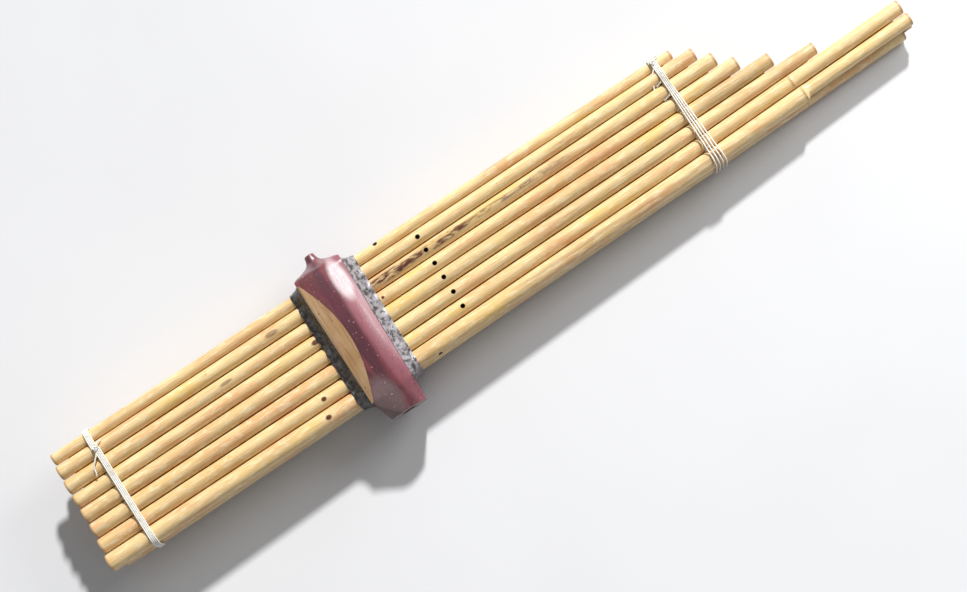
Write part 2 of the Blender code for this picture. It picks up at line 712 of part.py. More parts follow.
def slot_half(row, grow, corner, crest):
    """(y, z) round half of the slot, grown by a rim, with its points above those of the crest."""
    low, high, slot_height = slot_limits()
    top = slot_height + grow
    nipple = [(high + grow, 0.0), (high + grow, top / 2), (high + grow - corner, top - corner)]
    mouth = [(low - grow + corner, top - corner), (low - grow, top / 2), (low - grow, 0.0)]
    return [(y, row * z) for y, z in nipple + [(y, top) for y, z in crest] + mouth]


def wax_rings(side):
    """The wax from its plug in the slot, over the rim of the slot, down to a skin on the pipes."""
    end = side * (CHEST_HALF_DEPTH + WAX_REACH)
    hugging = [hugging_half(row, end) for row in (LEFT, RIGHT)]
    outlines = []
    for offset, grow, corner in (
        (-WAX_PLUG_DEPTH, -FIT_GAP, 0.0),
        (FIT_GAP, -FIT_GAP, 0.0),
        (FIT_GAP, WAX_FLANGE, WAX_FLANGE),
    ):
        halves = [
            slot_half(row, grow, corner, half[3:-3]) for row, half in zip((LEFT, RIGHT), hugging)
        ]
        outlines.append((offset, halves))
    flange = outlines[-1][1]
    for reach, share in WAX_SLOPE:
        halves = []
        for start_half, end_half in zip(flange, hugging):
            pairs = zip(np.array(start_half), np.array(end_half))
            halves.append([tuple(a + (b - a) * share) for a, b in pairs])
        outlines.append((FIT_GAP + (WAX_REACH - FIT_GAP) * reach, halves))
    rings = []
    for offset, (left, right) in outlines:
        outline = left + right[-2:0:-1]
        rings.append([(chest_face(side, y) + side * offset, y, z) for y, z in outline])
    return rings


def build_wax(name, side, carrier):
    wax = add_piece(name, mesh_from(name, loft(wax_rings(side))), carrier)
    finish(wax, WAX, WAX_ROUGHNESS)
    start = side * (CHEST_HALF_DEPTH - 2 * WAX_PLUG_DEPTH)
    end = side * (CHEST_HALF_DEPTH + 2 * WAX_REACH)
    for row in (LEFT, RIGHT):
        for number in PIPE_NUMBERS:
            rings = []
            for x in (start, end):
                radius = pipe_diameter(row, number, x) / 2 + FIT_GAP
                rings.append(circle(pipe_centre(row, number, x), radius, PIPE_SIDES))
            cut(wax, f"{name}_{ROW_NAMES[row]}_{number}", loft(rings), carrier)


def slip_section(x, trim):
    """Ring of the slip at x. It lies on right pipe 1 and reaches under left pipe 1 as far as it can."""
    low = FIT_GAP - row_half_gap(x)
    high = low + SLIP_THICKNESS
    radius = pipe_diameter(LEFT, 1, x) / 2
    drop = radius + row_half_gap(x) - high - FIT_GAP
    inner = pipe_centre(LEFT, 1, x).y - math.sqrt(radius * radius - drop * drop)
    outer = inner - SLIP_WIDTH
    corners = ((inner - trim, high), (outer + trim, high), (outer + trim, low), (inner - trim, low))
    return [Vector((x, y, z)) for y, z in corners]


def build_slip(carrier):
    """A thin flat slip of bamboo pressed between the outer sides of the two pipes 1."""
    trim = SLIP_THICKNESS / 2
    rings = [
        slip_section(SLIP_START_X, trim),
        slip_section(SLIP_START_X + trim, 0.0),
        slip_section(SLIP_END_X - trim, 0.0),
        slip_section(SLIP_END_X, trim),
    ]
    slip = add_piece("packing_slip", mesh_from("packing_slip", loft(rings)), carrier)
    finish(slip, BAMBOO[0], BAMBOO_ROUGHNESS)


def lay_down(carrier, slope):
    """Tips the instrument onto belly and tip, with the middle of its base at the origin."""
    carrier.rotation_euler = (0.0, math.atan(slope), 0.0)
    bpy.context.view_layer.update()
    graph = bpy.context.evaluated_depsgraph_get()
    points = []
    for piece in carrier.children:
        if not piece.hide_render:
            shape = piece.evaluated_get(graph)
            mesh = shape.to_mesh()
            points += [shape.matrix_world @ vertex.co for vertex in mesh.vertices]
            shape.to_mesh_clear()
    points = np.array(points)
    low, high = points.min(axis=0), points.max(axis=0)
    carrier.location = (-(low[0] + high[0]) / 2, -(low[1] + high[1]) / 2, -low[2])


def main():
    clear_scene()
    instrument = bpy.data.objects.new("instrument", None)
    bpy.context.scene.collection.objects.link(instrument)
    slope = build_chest(instrument)
    for row in (LEFT, RIGHT):
        for number in PIPE_NUMBERS:
            build_pipe(row, number, instrument)
            build_reed(row, number, instrument)
    build_wax("lower_wax_seal", -1, instrument)
    build_wax("upper_wax_seal", 1, instrument)
    path = winding(LOWER_BINDING_X, LOWER_BINDING_TURNS, LOWER_BINDING_SPREAD, LOWER_KNOT_Y, LEFT)
    build_binding("lower_binding", path, instrument)
    path = winding(UPPER_BINDING_X, UPPER_BINDING_TURNS, UPPER_BINDING_SPREAD, UPPER_KNOT_Y, RIGHT)
    build_binding("upper_binding", path, instrument)
    build_slip(instrument)
    lay_down(instrument, slope)


main()
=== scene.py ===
"""Looks of the khaen mouth organ: bamboo, carved hardwood, wax, bronze and cotton round its frame.

Metres, +Z up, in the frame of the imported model. Shapes are worked out about the middle of the
wind chest, with +X along the pipes from feet to tips and the left row above the right row.
LAID_DOWN then places them where the instrument lies.
"""

import math
import random

import bmesh
import bpy
import numpy as np
from mathutils import Matrix, Vector, noise


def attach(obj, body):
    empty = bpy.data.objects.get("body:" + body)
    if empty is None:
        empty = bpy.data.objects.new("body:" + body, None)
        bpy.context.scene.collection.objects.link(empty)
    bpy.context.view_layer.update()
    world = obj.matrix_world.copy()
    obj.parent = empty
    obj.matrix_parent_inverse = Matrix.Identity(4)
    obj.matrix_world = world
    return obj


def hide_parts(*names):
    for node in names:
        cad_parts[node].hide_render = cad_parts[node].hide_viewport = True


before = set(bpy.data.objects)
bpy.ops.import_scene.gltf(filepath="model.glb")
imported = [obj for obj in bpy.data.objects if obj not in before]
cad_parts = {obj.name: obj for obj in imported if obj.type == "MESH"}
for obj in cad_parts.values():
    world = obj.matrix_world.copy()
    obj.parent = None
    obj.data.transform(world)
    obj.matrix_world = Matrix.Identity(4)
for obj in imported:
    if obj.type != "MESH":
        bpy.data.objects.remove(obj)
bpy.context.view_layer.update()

bl_info = {
    "name": "Khaen Mouth Organ",
    "version": (1, 0, 0),
    "blender": (4, 5, 0),
    "location": "3D View > Sidebar > Khaen",
    "description": "Builds the pipes, wind chest, wax, reeds and cords of a khaen",
    "category": "Add Mesh",
}

LEFT = 1
RIGHT = -1
ROW_NAMES = {LEFT: "left", RIGHT: "right"}
PIPE_COUNT = 8
PIPE_NUMBERS = range(1, PIPE_COUNT + 1)
ALL_PIPES = [(row, number) for row in (LEFT, RIGHT) for number in PIPE_NUMBERS]
REST_ANGLE = 0.029941
LAID_DOWN = Matrix.Translation((-0.125878, 0.0005, 0.030506)) @ Matrix.Rotation(REST_ANGLE, 4, "Y")

# Pipes; a tuple of eight runs from pipe 1 beside the blow hole to pipe 8 beside the nipple
FOOT_REACH = (0.2787, 0.2770, 0.2754, 0.2752, 0.2747, 0.2745, 0.2737, 0.2724)
TIP_REACH = (0.5302, 0.5286, 0.4503, 0.4143, 0.3892, 0.3754, 0.3637, 0.3474)
FOOT_DIAMETER = (0.0158, 0.0140, 0.0140, 0.0138, 0.0130, 0.0134, 0.0132, 0.0106)
CHEST_DIAMETER = (0.0150, 0.0138, 0.0142, 0.0144, 0.0130, 0.0124, 0.0128, 0.0104)
BINDING_DIAMETER = (0.0154, 0.0130, 0.0132, 0.0132, 0.0128, 0.0128, 0.0120, 0.0086)
TOP_DIAMETER = (0.0118, 0.0130, 0.0100, 0.0122, 0.0126, 0.0126, 0.0112, 0.0080)

# Right pipe 1: diameter at foot, chest, upper binding and tip, and its tip's lean from pipe 2
RIGHT_FIRST_DIAMETER = (0.0168, 0.0162, 0.0164, 0.0146)
RIGHT_FIRST_LEAN = 0.0030

# Rows, walls, bamboo joints and holes; a tuple of two is for pipes 1 and 2
ROW_EDGE_Y = 0.0550
RIGHT_FOOT_INSET = 0.0095
RIGHT_TIP_INSET = 0.0090
PIPE_GAP = 0.0006
ROW_GAP_AT_CHEST = 0.0012
ROW_GAP_AT_BINDINGS = 0.0005
PIPE_WALL = 0.0018
BORE_PAINT_DEPTH = 0.6 * PIPE_WALL
END_ROUNDING = 0.0010
UPPER_JOINT_X = (0.4214, 0.4179)
LOWER_JOINT_X = (-0.0585, -0.0537)
JOINT_HALF_LENGTH = 0.0035
WIDTH_BELOW_STEP = 0.0148
WIDTH_ABOVE_STEP = 0.0119
JOINT_RIDGE = 0.00035
JOINT_GROOVE = 0.00012
LOWER_JOINT_SHARE = 0.25
FINGER_HOLE_DIAMETER = 0.0036
FINGER_HOLE_SIDES = 24
FINGER_HOLE_X = 0.0854
THUMB_HOLE_X = 0.0482
THUMB_HOLE_TURN = math.radians(75)
SHOULDER_HOLE_X = 0.0522
SHOULDER_HOLE_TURN = math.radians(45)
WAVERS_PER_METRE = 22.0
WAVER_SEEDS = (7.3, 3.1)

# Shares of an end's rounding and of a joint's half length
END_RINGS = (0.0, 0.3, 0.7, 1.0)
JOINT_RINGS = (-1.0, -0.6, -0.3, -0.12, 0.0, 0.12, 0.3, 0.6, 1.0)
RIM_WIDTH = 0.3
GROOVE_PLACE = 0.6
GROOVE_WIDTH = 0.2

# Cuts inside the pipes: length and width, then pipe 1's tuning slot X and the step to the next
TUNING_SLOT = (0.014, 0.0032)
UPPER_TUNING = (0.300, -0.022)
LOWER_TUNING = (-0.200, 0.012)
REED_WINDOW = (0.0130, 0.0032)
REED_SEAT_LENGTH = 0.0166
REED_SEAT_DEPTH = 0.0009

# Marks on the left row's canes: (pipe, x, radius along X, radius across, strength)
MARKS = (
    (6, 0.049, 0.022, 0.0026, 1.0),
    (6, 0.098, 0.022, 0.0024, 0.95),
    (6, 0.150, 0.030, 0.0016, 0.70),
    (6, 0.205, 0.018, 0.0020, 0.55),
    (6, -0.115, 0.004, 0.0010, 0.60),
    (5, -0.034, 0.0024, 0.0015, 0.95),
    (5, 0.0335, 0.0009, 0.0009, 1.0),
    (3, 0.235, 0.046, 0.0050, 0.22),
    (4, 0.385, 0.030, 0.0065, 0.26),
    (3, 0.430, 0.018, 0.0055, 0.20),
    (7, -0.061, 0.004, 0.0015, 0.60),
    (2, -0.0537, 0.0016, 0.0013, 1.0),
    (1, -0.0585, 0.0018, 0.0014, 1.0),
    (1, 0.250, 0.090, 0.0012, 0.35),
)
MARK_DEPTH = 0.01
LONG_MARK = 0.01
BLOTCHED_PIPE = 6

# Wind chest
HALF_DEPTH = 0.022
TIP_FACE_AT_MOUTH = 0.0188
SLOT_LOW = -0.0579
SLOT_HIGH = 0.0565
SLOT_HALF_HEIGHT = 0.0194
BELLY_HEIGHT = 0.031
SLOT_END_WALL = 0.0043
CREST_X = 0.004
CREST_POWER = 1.8
EDGE_DROP_AT_ENDS = 0.0020
TIP_EDGE_DROP = 0.0065
FOOT_EDGE_DROP = 0.0040
BEVEL_FACE_HEIGHT = 0.0207
BEVEL_ANGLE = math.radians(31)
MOUTH_BLOCK = 0.0204
MOUTH_HEIGHT = 0.0160
MOUTH_EDGE_DROP = 0.0050
MOUTH_FOOT_SIDE = 0.0155
MOUTH_TIP_SIDE = 0.0175
MOUTH_FACET_WIDTH = 0.0130
MOUTH_FACET_DROP = 0.0070
BLOW_HOLE_DIAMETER = 0.0140
BLOW_HOLE_SIDES = 48
BLOW_HOLE_OVERRUN = 0.00075
NIPPLE_BLOCK = 0.0050
NIPPLE_SHOULDER_HEIGHT = 0.0202
NIPPLE_RADIUS = 0.0042
NIPPLE_RISES = (0.0, 0.0017, 0.0034, 0.0050, 0.0067, 0.0084, 0.0100, 0.0126, 0.0152, 0.0158)
NIPPLE_WIDTHS = (0.0220, 0.0193, 0.0150, 0.0117, 0.0086, 0.0067, 0.0057, 0.0049, 0.0044, 0.0037)
NIPPLE_FIRST_RISE = 0.0006
BELLY_FLAT_DEPTH = 0.0006
MOUTH_RINGS = 10
BELLY_RINGS = 41
SHOULDER_RINGS = 5
NIPPLE_RINGS = 26
BEVEL_TOLERANCE = 0.02

# Wax
WAX_PLUG_DEPTH = 0.006
WAX_REACH = 0.010
WAX_FLANGE = 0.0019
WAX_SKIN = 0.0011
WAX_VALLEY = 0.0016
WAX_GAP = 0.0003
WAX_FIT = 0.00012
WAX_LONG_EDGE = 0.0012
WAX_CUTS = 3
WAX_SMOOTHING = 0.35
WAX_STILL_EDGE = 0.0004
WAX_LUMP_LEVEL = 0.35
WAX_TUNNEL_SIDES = 32

# The wax's slope down from its flange: (share of its reach along X, share of the way down)
WAX_SLOPE = ((0.25, 0.30), (0.50, 0.62), (0.75, 0.86), (1.0, 1.0))

# Noise that lumps the wax: (lumps per metre, share)
WAX_LUMPS = ((260.0, 0.6), (620.0, 0.4))

# Cords
LOWER_BINDING_X = -0.2360
UPPER_BINDING_X = 0.3298
CORD_CLEARANCE = 0.0006
CORD_TURNS = 4
UPPER_FAN = 0.0020
FAN_POWER = 3
LOWER_KNOT_Y = 0.0124
UPPER_KNOT_Y = 0.0505
HULL_STEPS = 720
CORD_STEP = 0.0005
TWIST_LENGTH = 0.0034
TAIL_REACHES = ((-0.0125, -0.0200, 0.0), (0.0065, 0.0045, 0.0))
TAIL_STEPS = 12
TAIL_SWAY = 0.0012
TAIL_HALF_WAVES = 2.5
KNOT_STEPS = 72
KNOT_FLATNESS = 0.35

# Shares of the cord's diameter
CORD_PITCH = 1.02
STRAND_RADIUS = 0.33
STRAND_OFFSET = 0.21
KNOT_SIZE = 1.5
KNOT_RISE = 0.9
TAIL_ARCH = 1.1
TAIL_DROOP = 0.4

# Where the upper binding dips between canes: (pipe on the nipple side of the dip, reach along X)
VALLEY_STUBS = ((7, -0.008), (6, -0.009), (5, -0.005), (3, -0.004), (2, -0.004))

# Points of such a dip: (share of its reach, way from the valley's middle, height above the canes)
STUB_POINTS = (
    (0.0, 0.0030, 0.0002), (0.4, 0.0012, -0.0004), (0.8, 0.0002, -0.0022), (1.0, 0.0, -0.0034),
)

# Packing slip
SLIP_FOOT_X = 0.4290
SLIP_TIP_X = 0.5290
SLIP_STATIONS = 60
SLIP_WIDTH = 0.0032
SLIP_THICKNESS = 0.0012
SLIP_CLEARANCE = 0.0003
SLIP_TRIM = 0.0001
SLIP_RAGGEDNESS = 0.00015
RAGS_PER_METRE = 300.0

# Patches of painted light and shade: place, radii, and the share of the radii where the soft edge ends
SLOPE_PATCH = ((0.017, 0.0, 0.02), (0.009, 0.075, 0.05), 1.5)
RIDGE_PATCH = ((-0.001, 0.0, 0.02), (0.004, 0.055, 0.05), 1.6)
PAINTED_SHEEN_PATCH = ((0.0125, 0.042, 0.02), (0.0045, 0.013, 0.03), 1.9)
FACET_PATCH = ((-0.009, -0.064, 0.02), (0.008, 0.014, 0.04), 2.0)
TIPWARD_WAX = ((0.030, 0.0, 0.01), (0.013, 0.09, 0.06), 1.3)

# Tints that the finishes mix into their main colours
PINK_CANE = (0.76, 0.38, 0.17)
GOLDEN_CANE = (0.86, 0.57, 0.14)
PALE_CANE = (0.92, 0.78, 0.50)
CANE_FIBRE = (0.42, 0.22, 0.08)
CANE_SPECK = (0.22, 0.09, 0.03)
SCORCHED_RIM = (0.05, 0.022, 0.010)
CUT_CANE = (0.50, 0.30, 0.14)
JOINT_BROWN = (0.38, 0.19, 0.07)
# Pith colours, the darker one also standing for painted shade inside the bore
PITH_AND_BORE_SHADE = (0.10, 0.055, 0.025)
PALE_PITH = (0.26, 0.16, 0.08)
# Painted light and shade on the chest: light on the tip-side slope, shade on the ridge, a pale sheen, a
# grey sky reflection on the mouth facet
PAINTED_SLOPE_LIGHT = (0.36, 0.12, 0.15)
PAINTED_RIDGE_SHADE = (0.075, 0.016, 0.032)
PAINTED_WOOD_SHEEN = (0.86, 0.74, 0.75)
PAINTED_SKY_REFLECTION = (0.24, 0.17, 0.17)
WOOD_CHIP = (0.60, 0.36, 0.38)
WOOD_PORE = (0.020, 0.006, 0.008)
LIGHT_SAPWOOD = (0.63, 0.42, 0.24)
SAPWOOD_GRAIN = (0.27, 0.12, 0.06)
SAPWOOD_SPECK = (0.13, 0.04, 0.02)
WAX_HOLLOW = (0.050, 0.046, 0.050)
# Painted highlight that greys the wax's lumps on the tip side
PAINTED_WAX_HIGHLIGHT = (0.30, 0.28, 0.30)
WAX_DUST = (0.30, 0.27, 0.25)
BRONZE_TARNISH = (0.16, 0.10, 0.06)
COTTON_SOIL = (0.50, 0.42, 0.30)
COTTON_SHADE = (0.42, 0.38, 0.31)

# The clear skin on cane, oiled wood and wax
COAT_ROUGHNESS = 0.25

# Photograph's view: the camera's turn as a rotation vector, its place before that turn, its lens
CAMERA_TURN = Vector((0.09218, 0.0492, -0.58237))
CAMERA_SHIFT = Vector((-0.00233, -0.03654, 2.2))
CAMERA_LENS = 96.42
CAMERA_SENSOR = 36.0
CAMERA_SIGHT = 50.0

# Stage
FLOOR_REACH = 6.0
DARK_FLOOR = (0.74, 0.74, 0.75)
PALE_FLOOR = (0.77, 0.77, 0.78)
SKY = (0.96, 0.98, 1.0, 1.0)
SKY_STRENGTH = 0.27
SUN_WAY = Vector((0.60, 0.78, 0.70))
SUN_STRENGTH = 4.1
SUN_SPREAD = math.radians(4)
SHEEN_PLACE = Vector((1.25, 0.30, 0.85))
SHEEN_WATTS = 9.0
SHEEN_SIZE = 0.7


def distance_setting(name, description, default):
    return bpy.props.FloatProperty(
        name=name, description=description, default=default, subtype="DISTANCE", unit="LENGTH",
    )


def colour_setting(name, description, default):
    return bpy.props.FloatVectorProperty(
        name=name, description=description, default=default, subtype="COLOR",
    )


class KhaenSizes(bpy.types.PropertyGroup):
    """Fineness and natural irregularity of the pieces"""

    pipe_sides: bpy.props.IntProperty(
        name="Pipe Sides", description="Points round each pipe", default=48, min=12,
    )
    pipe_step: distance_setting("Pipe Step", "Distance between the rings of a pipe", 0.006)
    pipe_waver: distance_setting("Pipe Waver", "How far a cane's width wavers along its length", 0.00012)
    cord_diameter: distance_setting("Cord Diameter", "Thickness of the cotton cord", 0.0014)
    wax_lump: distance_setting("Wax Lumps", "Height of the lumps that thumbs left in the wax", 0.0007)
    chest_points: bpy.props.IntProperty(
        name="Chest Points", description="Points over the chest's crest", default=40, min=14,
    )


class KhaenColours(bpy.types.PropertyGroup):
    """Colours of the finishes"""

    bamboo: colour_setting("Bamboo", "Bright cane", (0.84, 0.63, 0.32))
    bamboo_tan: colour_setting("Tan Bamboo", "Aged cane", (0.62, 0.34, 0.11))
    stain: colour_setting("Stain", "Red-brown marks", (0.11, 0.030, 0.014))
    hardwood: colour_setting("Hardwood", "Oiled heartwood", (0.125, 0.030, 0.036))
    sapwood: colour_setting("Sapwood", "Pale cut wood", (0.50, 0.29, 0.13))
    wax: colour_setting("Wax", "Dark insect wax", (0.050, 0.045, 0.045))
    bronze: colour_setting("Bronze", "Filed reed metal", (0.66, 0.43, 0.19))
    cotton: colour_setting("Cotton", "Undyed cord", (0.90, 0.89, 0.84))


def sizes():
    return bpy.context.scene.khaen_sizes


def colours():
    return bpy.context.scene.khaen_colours


class Finish:
    """A material's node tree and its colour so far, with short calls for nodes that are shared."""

    def __init__(self, name):
        self.material = bpy.data.materials.new(name)
        self.material.use_nodes = True
        self.tree = self.material.node_tree
        self.shader = self.tree.nodes["Principled BSDF"]
        coordinates = self.tree.nodes.new("ShaderNodeTexCoord")
        self.place = coordinates.outputs["Object"]
        self.colour = None

    def feed(self, socket, value):
        if isinstance(value, bpy.types.NodeSocket):
            self.tree.links.new(value, socket)
        elif isinstance(value, (int, float)):
            socket.default_value = value
        elif len(value) == len(socket.default_value):
            socket.default_value = value
        else:
            socket.default_value = (*value, 1.0)

    def fill(self, node, **values):
        """Feeds a node's inputs, the spaces in their names written as underscores."""
        for name, value in values.items():
            self.feed(node.inputs[name.replace("_", " ")], value)

    def worked(self, kind, operation, *values):
        """A maths node of a kind, set to an operation on the values."""
        node = self.tree.nodes.new(kind)
        node.operation = operation
        for socket, value in zip(node.inputs, values):
            self.feed(socket, value)
        return node

    def maths(self, operation, first, second):
        return self.worked("ShaderNodeMath", operation, first, second).outputs["Value"]

    def noise(self, scale, size=(1.0, 1.0, 1.0), detail=4.0, roughness=0.55, distortion=0.0):
        """Cloudy noise; scale is per metre, and size stretches it along each axis."""
        mapping = self.tree.nodes.new("ShaderNodeMapping")
        self.fill(mapping, Vector=self.place, Scale=size, Location=(scale * 0.01, scale * 0.007, 0.0))
        texture = self.tree.nodes.new("ShaderNodeTexNoise")
        self.fill(
            texture, Vector=mapping.outputs["Vector"], Scale=scale, Detail=detail,
            Roughness=roughness, Distortion=distortion,
        )
        return texture.outputs["Fac"]

    def ramp(self, value, low, high, bottom=0.0, top=1.0):
        """Value from low to high becomes bottom to top, with soft ends."""
        node = self.tree.nodes.new("ShaderNodeMapRange")
        node.interpolation_type = "SMOOTHSTEP"
        self.fill(node, Value=value, From_Min=low, From_Max=high, To_Min=bottom, To_Max=top)
        return node.outputs["Result"]

    def mix(self, share, first, second):
        node = self.tree.nodes.new("ShaderNodeMix")
        node.data_type = "RGBA"
        self.fill(node, Factor=share, A=first, B=second)
        return node.outputs["Result"]

    def spot(self, centre, radii, edge):
        """1 inside an ellipsoid about a place in the frame, falling to 0 outside it."""
        away = self.worked("ShaderNodeVectorMath", "SUBTRACT", self.place, centre)
        scaled = self.worked("ShaderNodeVectorMath", "DIVIDE", away.outputs["Vector"], radii)
        reach = self.worked("ShaderNodeVectorMath", "LENGTH", scaled.outputs["Vector"])
        return self.ramp(reach.outputs["Value"], 1.0, edge, 1.0, 0.0)

    def tint(self, second, value, *levels):
        """Lays a second colour over the first, as strong as the value's ramp."""
        self.colour = self.mix(self.ramp(value, *levels), self.colour, second)

    def patch(self, second, where, *strengths):
        """Lays a second colour over a place on the instrument, weakened by each strength."""
        place, radii, edge = where
        mask = self.spot(LAID_DOWN @ Vector(place), radii, edge)
        for strength in strengths:
            mask = self.maths("MULTIPLY", mask, strength)
        self.colour = self.mix(mask, self.colour, second)

    def bump(self, height, depth, strength):
        node = self.tree.nodes.new("ShaderNodeBump")
        self.fill(node, Distance=depth, Strength=strength, Height=height)
        self.fill(self.shader, Normal=node.outputs["Normal"])

    def done(self, roughness, metallic=0.0, level=0.5, coat=0.0):
        self.fill(
            self.shader, Base_Color=self.colour, Roughness=roughness, Metallic=metallic,
            Specular_IOR_Level=level, Coat_Weight=coat, Coat_Roughness=COAT_ROUGHNESS,
        )
        return self.material


def steps_down(row, number):
    return row == LEFT and number == 1


def pipe_diameter(row, number, x):
    i = number - 1
    stations = [-FOOT_REACH[0], 0.0, UPPER_BINDING_X, max(TIP_REACH)]
    widths = [each[i] for each in (FOOT_DIAMETER, CHEST_DIAMETER, BINDING_DIAMETER, TOP_DIAMETER)]
    if row == RIGHT and number == 1:
        widths = RIGHT_FIRST_DIAMETER
    if steps_down(row, number):
        stations[3:3] = [UPPER_JOINT_X[i], UPPER_JOINT_X[i] + JOINT_HALF_LENGTH]
        widths[3:3] = [WIDTH_BELOW_STEP, WIDTH_ABOVE_STEP]
    return float(np.interp(x, stations, widths))


def row_half_gap(x):
    stations = (-FOOT_REACH[0], 0.0, UPPER_BINDING_X)
    gaps = (ROW_GAP_AT_BINDINGS, ROW_GAP_AT_CHEST, ROW_GAP_AT_BINDINGS)
    return float(np.interp(x, stations, gaps)) / 2


def pipe_centre(row, number, x):
    y = ROW_EDGE_Y
    for beside in range(number + 1, PIPE_COUNT + 1):
        y -= pipe_diameter(row, beside, x) + PIPE_GAP
    if row == RIGHT and number == 1:
        y -= float(np.interp(x, (UPPER_BINDING_X, max(TIP_REACH)), (0.0, RIGHT_FIRST_LEAN)))
    radius = pipe_diameter(row, number, x) / 2
    return Vector((x, y - radius, row * (row_half_gap(x) + radius)))


def pipe_ends(row, number):
    foot = -FOOT_REACH[number - 1]
    tip = TIP_REACH[number - 1]
    if row == RIGHT:
        return foot + RIGHT_FOOT_INSET, tip - RIGHT_TIP_INSET
    return foot, tip


def crown(row, number, x):
    return row * (row_half_gap(x) + pipe_diameter(row, number, x))


def finger_hole(row, number):
    """Middle of the finger hole on the cane's axis, and the way that it is drilled."""
    x, turn = FINGER_HOLE_X, 0.0
    if number == 1:
        x, turn = THUMB_HOLE_X, -THUMB_HOLE_TURN
    if number == PIPE_COUNT:
        x, turn = SHOULDER_HOLE_X, SHOULDER_HOLE_TURN
    return pipe_centre(row, number, x), Vector((0.0, math.sin(turn), row * math.cos(turn)))


def mesh_from(name, bm):
    bmesh.ops.recalc_face_normals(bm, faces=bm.faces)
    mesh = bpy.data.meshes.new(name)
    bm.to_mesh(mesh)
    bm.free()
    return mesh


def join_rings(bm, first, second):
    count = len(first)
    for i in range(count):
        j = (i + 1) % count
        bm.faces.new((first[i], first[j], second[j], second[i]))


def loft(rings, bm=None):
    """One closed body through rings that hold the same number of points."""
    bm = bm or bmesh.new()
    rows = [[bm.verts.new(point) for point in ring] for ring in rings]
    for first, second in zip(rows, rows[1:]):
        join_rings(bm, first, second)
    bm.faces.new(rows[0])
    bm.faces.new(rows[-1])
    return bm


def block(low, high):
    size = Vector(high) - Vector(low)
    middle = (Vector(high) + Vector(low)) / 2
    bm = bmesh.new()
    matrix = Matrix.Translation(middle) @ Matrix.Diagonal((*size, 1.0))
    bmesh.ops.create_cube(bm, size=1.0, matrix=matrix)
    return bm


def rod(start, end, diameter, sides):
    way = end - start
    turn = way.to_track_quat("Z", "Y").to_matrix().to_4x4()
    bm = bmesh.new()
    bmesh.ops.create_cone(
        bm, cap_ends=True, segments=sides, depth=way.length,
        radius1=diameter / 2, radius2=diameter / 2,
        matrix=Matrix.Translation((start + end) / 2) @ turn,
    )
    return bm


def ring_about(centre, radius, sides, ridge=0.0, outward=LEFT):
    """A ring across X. A ridge rises only on the side that faces out of the row."""
    ring = []
    for i in range(sides):
        angle = 2 * math.pi * i / sides
        reach = radius + ridge * max(0.0, outward * math.sin(angle))
        ring.append(centre + Vector((0.0, reach * math.cos(angle), reach * math.sin(angle))))
    return ring


def plane_cutter(point, along, across, reach):
    """A box whose one face lies on the plane through the point, and which fills its outer side."""
    along = along.normalized()
    normal = along.cross(across).normalized()
    across = normal.cross(along)
    turn = Matrix((along, across, normal)).transposed().to_4x4()
    bm = block((-reach, -reach, 0.0), (reach, reach, reach))
    bmesh.ops.transform(bm, matrix=Matrix.Translation(point) @ turn, verts=bm.verts)
    return bm


def carve(mesh, cutters):
    """The mesh with each cutter's shape taken away from it."""
    body = bpy.data.objects.new("carving", mesh)
    bpy.context.scene.collection.objects.link(body)
    tools = []
    for bm in cutters:
        tool = bpy.data.objects.new("tool", mesh_from("tool", bm))
        bpy.context.scene.collection.objects.link(tool)
        modifier = body.modifiers.new("cut", "BOOLEAN")
        modifier.operation = "DIFFERENCE"
        modifier.solver = "EXACT"
        modifier.object = tool
        tools.append(tool)
    graph = bpy.context.evaluated_depsgraph_get()
    result = bpy.data.meshes.new_from_object(body.evaluated_get(graph))
    for obj in [body] + tools:
        bpy.data.objects.remove(obj, do_unlink=True)
    return result


def stand_for(piece, node):
    """Lets a new piece ride with the instrument in place of its CAD node."""
    bpy.context.scene.collection.objects.link(piece)
    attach(piece, "root")
    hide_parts(node)


def show(name, mesh, materials, node, paint=None, sharp=32.0):
    """Paints the mesh, lays it down with the instrument and lets it stand for the CAD node."""
    for material in materials:
        mesh.materials.append(material)
    if paint:
        paint(mesh)
    mesh.transform(LAID_DOWN)
    mesh.shade_smooth()
    mesh.set_sharp_from_angle(angle=math.radians(sharp))
    stand_for(bpy.data.objects.new(name, mesh), node)


def joint_rise(share):
    """How far the cane stands out at a share of a joint's half length: a rim between grooves."""
    rim = JOINT_RIDGE * math.exp(-(share / RIM_WIDTH) ** 2)
    groove = JOINT_GROOVE * math.exp(-((abs(share) - GROOVE_PLACE) / GROOVE_WIDTH) ** 2)
    return rim - groove


def pipe_stations(row, number):
    """(x, inset, ridge) of each outer ring, close at the ends and joints."""
    foot, tip = pipe_ends(row, number)
    stations = {}
    for share in END_RINGS:
        inset = END_ROUNDING * (1 - math.sqrt(1 - (1 - share) ** 2))
        stations[foot + END_ROUNDING * share] = (inset, 0.0)
        stations[tip - END_ROUNDING * share] = (inset, 0.0)
    joints = []
    if number <= len(UPPER_JOINT_X):
        joints = [(LOWER_JOINT_X[number - 1], LOWER_JOINT_SHARE), (UPPER_JOINT_X[number - 1], 1.0)]
    count = round((tip - foot) / sizes().pipe_step)
    for i in range(1, count):
        x = foot + (tip - foot) * i / count
        if all(abs(x - joint) > JOINT_HALF_LENGTH for joint, height in joints):
            stations[x] = (0.0, 0.0)
    for joint, height in joints:
        for share in JOINT_RINGS:
            stations[joint + share * JOINT_HALF_LENGTH] = (0.0, joint_rise(share) * height)
    return sorted((x, *rest) for x, rest in stations.items())


